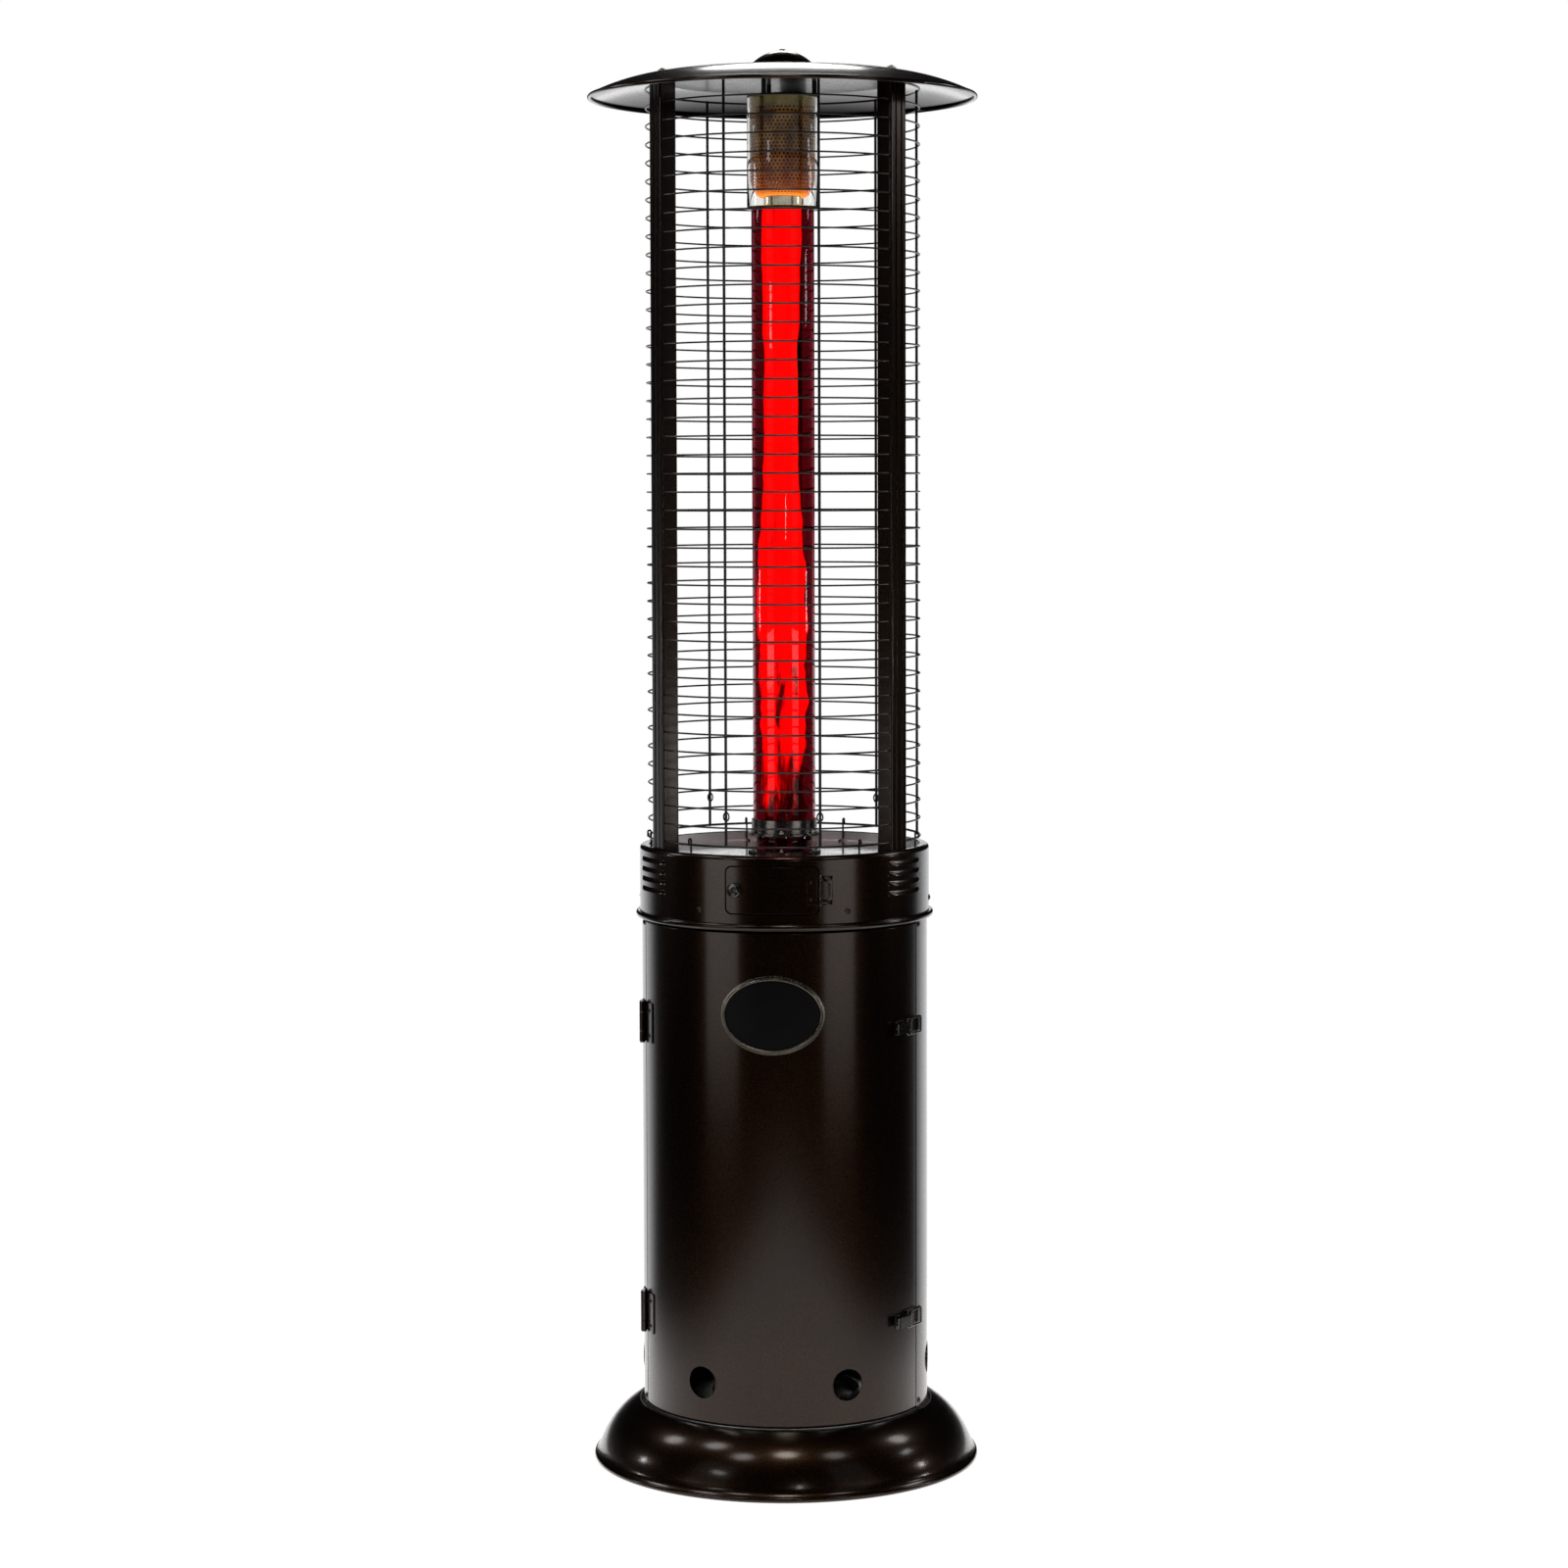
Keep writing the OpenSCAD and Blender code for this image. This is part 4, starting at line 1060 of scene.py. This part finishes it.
def make_hatch():
    width = 2 * COLLAR_R * math.sin(math.radians(HATCH_HALF))
    outline = rectangle(-width / 2, -HATCH_H / 2, width / 2, HATCH_H / 2, 8 * MM, 8)
    catch_azimuth = -14.6
    catch_x = COLLAR_R * math.sin(math.radians(catch_azimuth))
    bore = [(catch_x + x, y) for x, y in ellipse(6.1 * MM, 6.1 * MM, 20)]
    hatch = Piece().add(wall_plate(outline, 0, HATCH_Z, COLLAR_R - SHEET, COLLAR_R, [bore]))
    pin_azimuth = HATCH_HALF + 0.7
    pin = wall_frame(pin_azimuth, COLLAR_R + 2.4 * MM, 0)
    hatch.add(knuckle(HATCH_Z - 9.7 * MM, HATCH_Z + 9.7 * MM, 2.3 * MM, 1.05 * MM), pin)
    leaf = rectangle(-7.2 * MM, -20 * MM, 7.2 * MM, 20 * MM, 2 * MM)
    hatch.add(wall_plate(leaf, pin_azimuth - 3.2, HATCH_Z, COLLAR_R, COLLAR_R + 1.1 * MM))
    tab = rectangle(-1.8 * MM, -9.5 * MM, 1.8 * MM, 9.5 * MM)
    hatch.add(wall_plate(tab, pin_azimuth - 0.75, HATCH_Z, COLLAR_R, COLLAR_R + 1.1 * MM))
    for side in (-1, 1):
        hatch.add(rivet(), wall_frame(pin_azimuth - 3.6, COLLAR_R + MM, HATCH_Z + side * 12 * MM))
    hatch.finish("hatch_panel", "gloss_paint", "control_hatch", ["control_hatch"], 0.4)

    catch_profile = [(0, 1.0), (2.6, 1.0), (3.4, 2.0), (4.6, 2.2), (5.6, 3.6), (7.6, 4.4), (9.4, 3.8),
                     (10.4, 2.4), (10.5, 0.5), (3, 0.5), (3, -10.0), (0, -10.0)]
    knob = lathe(mm(catch_profile), 40)
    knob = carved(knob, block(-2.6 * MM, 2.6 * MM, -5 * MM, -0.2 * MM, -0.5 * MM, 0.5 * MM))
    wall = wall_frame(catch_azimuth, COLLAR_R, HATCH_Z)
    catch = Piece().add(knob, wall)
    catch.add(block(-4 * MM, 4 * MM, 2.6 * MM, 4.6 * MM, -4 * MM, 16 * MM), wall)
    catch.finish("catch_knob", "dark_nickel", "hatch_catch", ["hatch_catch"], 0.3)


# ---- flame tube

def make_glass():
    tinted = {"sharp": 60, "material": TINTED_GLASS}
    wall = 3.5 * MM
    tube = rectangle(TUBE_R - wall, TUBE_LOW, TUBE_R, TUBE_HIGH, 1.2 * MM, 4)
    plain_piece("flame_tube", "clear_glass", turned(tube), "glass_tube", **tinted)
    sleeve = rectangle(SLEEVE_R - 3 * MM, SLEEVE_LOW, SLEEVE_R, SLEEVE_HIGH, 1.0 * MM, 4)
    plain_piece("head_sleeve", "clear_glass", turned(sleeve), "glass_sleeve", sharp=60)
    throat = rectangle(THROAT_R - 1.5 * MM, THROAT_LOW, THROAT_R, THROAT_HIGH, 0.5 * MM, 3)
    plain_piece("throat_glass", "clear_glass", turned(throat), "throat_sleeve", **tinted)


def make_ring_and_cap():
    neck = 27.5 * MM
    radii = [radius * MM for radius in (0.6, 1.4, 1.2, 0.6)]
    seat = rectangle(neck, TUBE_HIGH, SLEEVE_R + 1.2 * MM, SLEEVE_LOW, radii)
    plain_piece("sleeve_seat", "heat_tint", turned(seat), "sleeve_ring")
    collar = rectangle(neck - 1.5 * MM, TUBE_HIGH + 0.2 * MM, neck, BASKET_LOW - 0.1 * MM, 0.5 * MM)
    plain_piece("seat_neck", "heat_tint", turned(collar), material=POLISHED_SEAT)
    top = SLEEVE_HIGH
    flue_r, rim_r = 20 * MM, SLEEVE_R + 0.5 * MM
    lip_inner, lip_outer = BASKET_R + 0.1 * MM, BASKET_R + 1.0 * MM
    lip_depth, thickness = 15 * MM, 3 * MM
    cap = rounded(
        [(flue_r, top), (lip_inner, top), (lip_inner, top - lip_depth), (lip_outer, top - lip_depth),
         (lip_outer, top), (rim_r, top), (rim_r, top + thickness), (flue_r, top + thickness)],
        [radius * MM for radius in (0.3, 0.4, 0.4, 0.4, 0.4, 0.8, 1.2, 0.8)],
    )
    plain_piece("flue_plate", "heat_tint", turned(cap), "flue_cap")


def make_basket():
    """Perforated emitter: hexagonal cells with round holes, wrapped on a cylinder with a curved foot."""
    curve, curve_h = 17 * MM, 28 * MM
    quarter = arc((0, 0), 1, -90, 0, 20)
    foot = [(BASKET_R - curve + x * curve, BASKET_LOW + curve_h + y * curve_h) for x, y in quarter]
    path = Rolled(foot + [(BASKET_R, SLEEVE_HIGH)], 1.0 * MM)
    around = 50
    pitch = 360 / around
    step = BASKET_R * math.radians(pitch)
    side = step / math.sqrt(3)
    rise = 1.5 * side
    rows = int(path.lengths[-1] / rise) - 1
    basket = Piece()
    corners = []
    for angle in range(30, 390, 60):
        corners += [spoke(angle) * side, (spoke(angle) + spoke(angle + 60)) / 2 * side]
    hole = 0.30 * step
    flat = corners + [spoke(angle) * hole for angle in range(30, 390, 30)]
    for row in range(rows):
        middle_length = side + row * rise
        for column in range(around):
            azimuth = (column + 0.5 * (row % 2)) * pitch
            verts = []
            for line in (path.outer, path.inner):
                for p in flat:
                    turn = azimuth + math.degrees(p.x / BASKET_R)
                    verts.append(path.point(line, turn, middle_length + p.y))
            faces = []
            for k in range(12):
                j = (k + 1) % 12
                faces += [
                    (k, j, 12 + j, 12 + k),
                    (24 + j, 24 + k, 36 + k, 36 + j),
                    (12 + k, 12 + j, 36 + j, 36 + k),
                ]
            basket.add((verts, faces))
    band_low = path.point(path.outer, 0, middle_length).z
    basket.add(turned(rectangle(BASKET_R - 1.05 * MM, band_low, BASKET_R + 0.05 * MM, SLEEVE_HIGH)))
    floor_r = BASKET_R - curve + 1.2 * MM
    basket.add(turned(rounded(
        [(0, BASKET_LOW - 0.05 * MM), (floor_r, BASKET_LOW - 0.05 * MM), (floor_r, BASKET_LOW + 1.05 * MM),
         (0, BASKET_LOW + 1.05 * MM)], [0, 0.5 * MM, 0.5 * MM, 0],
    )))
    basket.finish("emitter_mesh", "emitter", replaces=["emitter_basket"], bevel=0, sharp=35)
    # A dark sheet behind the emitter's holes: painted shade that stands for the shadow inside the basket.
    liner_low, liner_high = BASKET_LOW + 26 * MM, SLEEVE_HIGH - 2 * MM
    liner = rectangle(BASKET_R - 9 * MM, liner_low, BASKET_R - 8 * MM, liner_high, 0.4 * MM)
    plain_piece("emitter_shade_sheet", "emitter", turned(liner), material=PAINTED_SHADE_SHEET)


def flame_radius(share, azimuth):
    """Radius of the flame at a share of its height, with slow swells and a ragged edge."""
    a = math.radians(azimuth)
    knots = [(0.0, 12), (0.06, 18), (0.11, 26), (0.19, 31), (0.28, 34), (0.35, 37), (0.41, 33), (0.50, 29),
             (0.58, 27), (0.66, 24), (0.76, 22.5), (0.82, 27.5), (0.93, 28), (1.0, 27)]
    i = max(k for k in range(len(knots) - 1) if knots[k][0] <= share)
    (s0, r0), (s1, r1) = knots[i], knots[i + 1]
    t = (share - s0) / (s1 - s0)
    base = r0 + (r1 - r0) * t * t * (3 - 2 * t)
    swell = 0.09 * math.sin(9 * share + a) + 0.06 * math.sin(23 * share - 2 * a + 1)
    ragged = 0.05 * math.sin(61 * share + 3 * a + 2) + 0.04 * math.sin(97 * share - 5 * a) + 0.03 * math.sin(
        173 * share + 4 * a + 1
    )
    torn = max(0.25, 1.6 - 2.2 * share)
    fade = min(1, 5 * share) * min(1, 8 * (1 - share) + 0.4)
    return base * (1 + (swell + ragged * torn) * fade) * MM


def flame_tongue(bottom, top, shift=(0, 0), scale=1.0, phase=0.0):
    """One column of flame. A scaled one is a tongue that ends in a point."""
    rings, around = 190, 44
    widest = TUBE_R - 5 * MM     # clear of the glass
    verts = []
    for i in range(rings + 1):
        share = i / rings
        lean = 3.2 * MM * math.sin(7 * share + phase) * min(1, 4 * share)
        point = 1.0 if scale == 1 else min(1.0, 3 * math.sqrt(1 - share) + 0.02)
        for k in range(around):
            azimuth = 360 * k / around
            r = flame_radius(share, azimuth + 40 * phase) * scale * point
            at = polar(r, azimuth, bottom + (top - bottom) * share)
            at += Vector((shift[0] + lean, shift[1] + lean * 0.6, 0))
            inward = min(1.0, widest / at.xy.length)
            verts.append(Vector((at.x * inward, at.y * inward, at.z)))
    return verts, skin(rings + 1, around)


def make_flame():
    bottom, top = DECK_Z + 16 * MM, BASKET_LOW - 12 * MM
    flame = Piece().add(flame_tongue(bottom, top, (-2 * MM, 0)))
    tongues = [(-17, -12, 0.24, 0.34, 1.3), (15, -6, 0.30, 0.32, 2.1), (5, -19, 0.17, 0.28, 3.7),
               (-6, 18, 0.27, 0.30, 4.9), (22, -10, 0.13, 0.20, 5.6), (-24, 4, 0.15, 0.20, 0.6)]
    for x, y, height, scale, phase in tongues:
        flame.add(flame_tongue(bottom, bottom + height, (x * MM, y * MM), scale, phase))
    flame.finish("flame", "emitter", bevel=0, sharp=180, material=FLAME)


def make_flange_bolts():
    """Hexagon nuts on domed studs, above and below the clamp."""
    nuts = Piece()
    flange_r = high("clamp_flange").x
    for azimuth in range(0, 360, 60):
        for z in (high("lower_flange").z, low("clamp_flange").z + 4 * MM):
            at = wall_frame(azimuth, flange_r - 2.6 * MM, z)
            nuts.add(extruded(hexagon(3.1 * MM), 0, 2.6 * MM), at)
            nuts.add(wire(mm([(0, 0, -3), (0, 0, 0), (0, 0, 3.6)]), 1.5 * MM, 12), at)
    nuts.finish("clamp_nuts", "zinc", replaces=["flange_bolts"], bevel=0.25)


# ---- posts, guard and head

def make_posts():
    half_w, half_d, depth = 19.5, 12.5, 1.7
    outline = [(-half_w, half_d), (-half_w, -half_d)]
    radii = [3.0, 3.0]
    for x in (-7, 7):
        groove = [(-1.5, 0), (-1.5, depth), (1.5, depth), (1.5, 0)]
        outline += [(x + dx, dy - half_d) for dx, dy in groove]
        radii += [0.7] * 4
    outline += [(half_w, -half_d), (half_w, half_d)]
    radii += [3.0, 3.0]
    outline = mm(rounded(outline, radii, steps=4))
    foot = rectangle(-half_w * MM, -7.9 * MM, half_w * MM, half_d * MM, 1.5 * MM, 3)
    for name, azimuth in POST_AZIMUTHS.items():
        at = wall_frame(azimuth, POST_MID_R, 0)
        post = Piece().add(extruded(outline, COLLAR_HIGH, POST_HIGH), at)
        post.add(extruded(foot, DECK_Z, COLLAR_HIGH + 0.5 * MM), at)
        post.finish(name + "_channel", "gloss_paint", replaces=[name], bevel=0.3)


def make_guard():
    pitch = (GUARD_HIGH - GUARD_LOW) / (GUARD_RINGS - 1)
    bar_r = GUARD_R - 2.6 * MM
    clips = Piece()
    for name, middle_azimuth in (("front_guard", 0), ("left_guard", -120), ("right_guard", 120)):
        panel = Piece()
        for i in range(GUARD_RINGS):
            radius = RAIL_WIRE if i in (0, GUARD_RINGS - 1) else 1.3 * MM
            ends = (middle_azimuth - PANEL_HALF, middle_azimuth + PANEL_HALF)
            points = ring_points(GUARD_R, *ends, GUARD_LOW + i * pitch)
            panel.add(wire(points, radius, 10))
        for side in (-BAR_AZIMUTH, BAR_AZIMUTH):
            top = polar(bar_r, middle_azimuth + side, GUARD_HIGH)
            bottom = polar(bar_r, middle_azimuth + side, GUARD_LOW)
            panel.add(wire([bottom, (bottom + top) / 2, top], 2 * MM, 14))
            eye = wall_frame(middle_azimuth + side, bar_r - 1.0 * MM, GUARD_LOW + 1.6 * pitch)
            angles = [t * math.pi / 8 for t in range(16)]
            loop = [(4.2 * MM * math.cos(a), 0, 6.0 * MM * math.sin(a)) for a in angles]
            panel.add(wire(loop, 1.1 * MM, 8, closed=True), eye)
        panel.finish(name + "_wires", "dark_paint", replaces=[name], bevel=0, sharp=70)
        for side in (-CLIP_AZIMUTH, CLIP_AZIMUTH):
            at = wall_frame(middle_azimuth + side, GUARD_R - 3 * MM, 0)
            bends = [(14, 1.4), (0, 1.4), (0, 33), (-4.6, 33), (-4.6, 25)]
            hook = rounded(bends, [0, 4, 2.2, 2.2, 0], closed=False)
            clips.add(wire([(0, y * MM, DECK_Z + z * MM) for y, z in hook], 1.4 * MM, 10), at)
    clips.finish("panel_clips", "dark_paint", replaces=["guard_clips"], bevel=0, sharp=70)


def make_head():
    flat_r, dish_arc = 150 * MM, 288 * MM
    centre = (flat_r, DISH_HIGH - dish_arc)
    bead = 2.9 * MM
    low_angle = 90 - math.degrees(math.asin((DISH_R - 1.9 * MM - flat_r) / dish_arc))
    rim_z = centre[1] + dish_arc * math.sin(math.radians(low_angle)) - 2.1 * MM
    path = arc((DISH_R - bead, rim_z), bead, -185, 62, 18)
    path += arc(centre, dish_arc, low_angle + 0.6, 90, 26)
    path += [(54 * MM, DISH_HIGH), (2.7 * MM, DISH_HIGH)]
    plain_piece("dish", "gloss_paint", Rolled(path).solid(), "reflector")

    rise = CAP_HIGH - DISH_HIGH
    half_width = 0.055
    radius = (half_width ** 2 + rise ** 2) / (2 * rise)
    start = math.degrees(math.asin((radius - rise) / radius))
    dome = [(0.0585, DISH_HIGH + 0.2 * MM), (0.0565, DISH_HIGH + 0.4 * MM)]
    dome += arc((0, CAP_HIGH - radius), radius, start + 2, 88, 24)
    dome.append((2.6 * MM, CAP_HIGH))
    plain_piece("vent_dome", "gloss_paint", Rolled(dome, 1.5 * MM).solid(), "vent_cap")

    nuts = Piece()
    nut_low = DISH_HIGH - 5.5 * MM + 3.3 * MM
    washer = turned(rectangle(0, 0, 7.5 * MM, 0.8 * MM), step=12)
    dome = [(0, 2.4), (4.8, 2.4)] + arc((0, -1.6), 6.2, 42, 90, 8)
    for azimuth in POST_AZIMUTHS.values():
        at = wall_frame(azimuth, 186 * MM, nut_low)
        nuts.add(washer, at)
        nuts.add(extruded(hexagon(6 * MM), 0.7 * MM, 2.6 * MM), at)
        nuts.add(turned(mm(dome), step=15), at)
    top = CAP_HIGH
    crown = [(0, -2), (5, -2), (5, 0.6), (4.2, 1.2), (3.4, 2.4), (1.6, 3.0), (0, 3.0)]
    nuts.add(turned([(r * MM, top + z * MM) for r, z in crown], step=15))
    rod_low, rod_r = DISH_HIGH - 6 * MM, 2.5 * MM
    nuts.add(turned([(0, rod_low), (rod_r, rod_low), (rod_r, top), (0, top)], step=20))
    nuts.finish("cap_nuts", "zinc", replaces=["acorn_nuts"], bevel=0.25)


# ---------------------------------------------------------------- CAD nodes that stay

KEPT = {
    "ballast_plate": ("iron", 1.0),
    "cylinder_tray": ("zinc", 0.3),
    "door_jambs": ("gloss_paint", 0.15),
    "hinge_pins": ("zinc", 0.3),
    "deck": ("polished_deck", 0.2),
    "control_box": ("dark_paint", 0.3),
    "hatch_hinge_leaf": ("gloss_paint", 0.2),
    "gas_valve": ("brass", 1.2),
    "valve_stem": ("brass", 0.4),
    "gas_knob": ("black_plastic", 0.5),
    "gas_inlet": ("brass", 0.4),
    "gas_pipe": ("copper", 0.2),
    "orifice_holder": ("brass", 0.4),
    "burner_cup": ("iron", 0.3),
    "pilot_tube": ("copper", 0.2),
    "thermocouple": ("copper", 0.2),
    "spark_electrode": ("ceramic", 0.15),
    "igniter_body": ("black_plastic", 0.4),
    "igniter_button": ("red_plastic", 0.4),
    "tilt_switch_case": ("black_plastic", 0.6),
    "tilt_pendulum": ("zinc", 0.15),
    "lower_flange": ("dark_nickel", 0.4),
    "clamp_flange": ("dark_nickel", 0.4),
    "cap_studs": ("dark_paint", 0.3),
    "heat_shield": ("dark_paint", 0.3),
}


def keep_node(name, slot, width):
    """Better paint and rounded edges on a CAD node whose shape is already right."""
    obj = nodes[name]
    for material_slot in obj.material_slots:
        material_slot.material = MATERIALS[slot]
    weld = obj.modifiers.new("weld", "WELD")
    weld.merge_threshold = 0.005 * MM
    round_edges(obj, width)


# ---------------------------------------------------------------- studio

def aim(obj, target):
    obj.rotation_euler = (Vector(target) - obj.location).to_track_quat("-Z", "Y").to_euler()


def area_light(name, shape, place, target, radiance, area, colour):
    light = bpy.data.lights.new(name, "AREA")
    light.shape = shape
    light.energy = radiance * math.pi * area
    light.color = colour
    obj = link(bpy.data.objects.new(name, light))
    obj.location = place
    aim(obj, target)
    obj.visible_camera = False
    return obj


def soft_box(name, azimuth, width, z0, z1, radiance, colour=(1, 1, 1)):
    """An upright rectangle of light, 3 m away. Glass does not show it."""
    height, mid = z1 - z0, (z0 + z1) / 2
    place = polar(3.0, azimuth, mid)
    obj = area_light(name, "RECTANGLE", place, (0, 0, mid), radiance, width * height, colour)
    obj.data.size = width
    obj.data.size_y = height
    obj.visible_transmission = False


def lamp(name, azimuth, elevation, radiance, colour):
    """A round lamp, 3.4 m away, aimed at the lower cabinet."""
    distance, radius, up = 3.4, 0.27, math.radians(elevation)
    place = polar(distance * math.cos(up), azimuth, distance * math.sin(up))
    obj = area_light(name, "DISK", place, (0, 0, 0.3), radiance, math.pi * radius ** 2, colour)
    obj.data.size = 2 * radius


def feathered_box(name, azimuth, width, radiance):
    """A tall soft box: it fades out towards the floor, and is dim above the collar."""
    levels = [(0.08, 0.20, 0.35), (0.20, 0.36, 0.8), (0.36, 0.68, 1.1), (0.68, 0.90, 2.4), (0.90, 3.3, 0.12)]
    for number, (z0, z1, share) in enumerate(levels):
        soft_box(f"{name}_{number}", azimuth, width, z0, z1, radiance * share)


def add_lights():
    feathered_box("left_box", CAMERA_AZIMUTH - 50, 1.45, 1.35)
    feathered_box("right_box", CAMERA_AZIMUTH + 43, 1.34, 1.25)
    soft_box("back_box", CAMERA_AZIMUTH + 180, 1.4, 0.98, 1.34, 1.1)
    soft_box("left_strip", CAMERA_AZIMUTH - 100, 0.14, 0.96, 1.17, 32)
    soft_box("middle_strip", CAMERA_AZIMUTH + 8, 0.10, 1.26, 1.46, 24)
    soft_box("right_strip", CAMERA_AZIMUTH + 92, 0.14, 0.94, 1.16, 32)
    for side in (-46, 94):
        soft_box(f"emitter_strip_{side}", CAMERA_AZIMUTH + side, 0.4, 2.02, 2.28, 9, (0.9, 0.95, 1.0))
    warm = (1.0, 0.93, 0.80)
    lamps = [(0, 68, 13), (-42, 60, 6), (-83, 62, 7), (48, 60, 4), (108, 46, 7), (-108, 46, 7), (180, 60, 6)]
    for number, (azimuth, elevation, radiance) in enumerate(lamps):
        colour = warm if number == 0 else (1, 1, 1)
        lamp(f"lamp_{number}", CAMERA_AZIMUTH + azimuth, elevation, radiance, colour)


def add_world():
    """A dark studio, with a white wall low behind the object. Seen directly, it is white all round."""
    world = bpy.data.worlds.new("studio")
    bpy.context.scene.world = world
    world.use_nodes = True
    n = Nodes(world.node_tree)
    place = n.node("ShaderNodeTexCoord").outputs["Generated"]
    rear = polar(1, CAMERA_AZIMUTH + 180, 0)
    facing = n.combine("ShaderNodeVectorMath", "DOT_PRODUCT", place, rear)
    upward = n.node("ShaderNodeSeparateXYZ", vector=place).outputs["Z"]
    wall = n.span(facing, 0.56, 0.84, kind="SMOOTHSTEP")
    below = n.span(upward, 0.0, -0.09, kind="SMOOTHSTEP")
    lit = n.combine("ShaderNodeMath", "MULTIPLY", wall, below)
    room = n.mix(lit, (0.006, 0.005, 0.005, 1), (0.95, 0.96, 0.98, 1))
    path = n.node("ShaderNodeLightPath").outputs
    seen = n.combine("ShaderNodeMath", "MAXIMUM", path["Is Camera Ray"], path["Is Transmission Ray"])
    n.feed(n.tree.nodes["Background"].inputs["Color"], n.mix(seen, room, (1, 1, 1, 1)))


def add_floor():
    """A pale floor, longest towards the camera, that fades out at its edge."""
    radius, rings, around = 2.7, 24, 96
    verts, faces = [Vector((0, 0, 0))], []
    for i in range(1, rings + 1):
        verts += [polar(radius * i / rings, 360 * k / around, 0) for k in range(around)]
    for k in range(around):
        j = (k + 1) % around
        faces.append((0, 1 + k, 1 + j))
        for i in range(rings - 1):
            a, b = 1 + i * around, 1 + (i + 1) * around
            faces.append((a + k, b + k, b + j, a + j))
    mesh = bpy.data.meshes.new("floor")
    mesh.from_pydata([tuple(v) for v in verts], [], faces)
    s = Shader("floor", roughness=0.6, specular_ior_level=0.2)
    s.drift(3, 3, grey(0.88), grey(0.92))
    s.constants(emission_color=grey(1.0), emission_strength=0.84)
    stretch, ahead = 1.6, 0.55
    place = s.stretched((1, 1 / stretch, 1), (0, ahead / stretch, 0))
    away = s.combine("ShaderNodeVectorMath", "LENGTH", place)
    s.set("Alpha", s.span(away, 0.80, 1.30, 1.0, 0.0))
    mesh.materials.append(s.material)
    floor = link(bpy.data.objects.new("floor", mesh))
    floor.rotation_euler.z = math.radians(CAMERA_AZIMUTH)


# ---------------------------------------------------------------- make everything

make_base()
make_cabinet()
make_badge()
make_screws()
make_hinges()
make_latch_plates()
make_latch(UPPER_Z, "upper")
make_latch(LOWER_Z, "lower")
make_collar()
make_hatch()
make_glass()
make_ring_and_cap()
make_basket()
make_flame()
make_flange_bolts()
make_posts()
make_guard()
make_head()
for kept_name, (kept_slot, kept_width) in KEPT.items():
    keep_node(kept_name, kept_slot, kept_width)
add_lights()
add_world()
add_floor()

bpy.context.scene.view_settings.view_transform = "Standard"
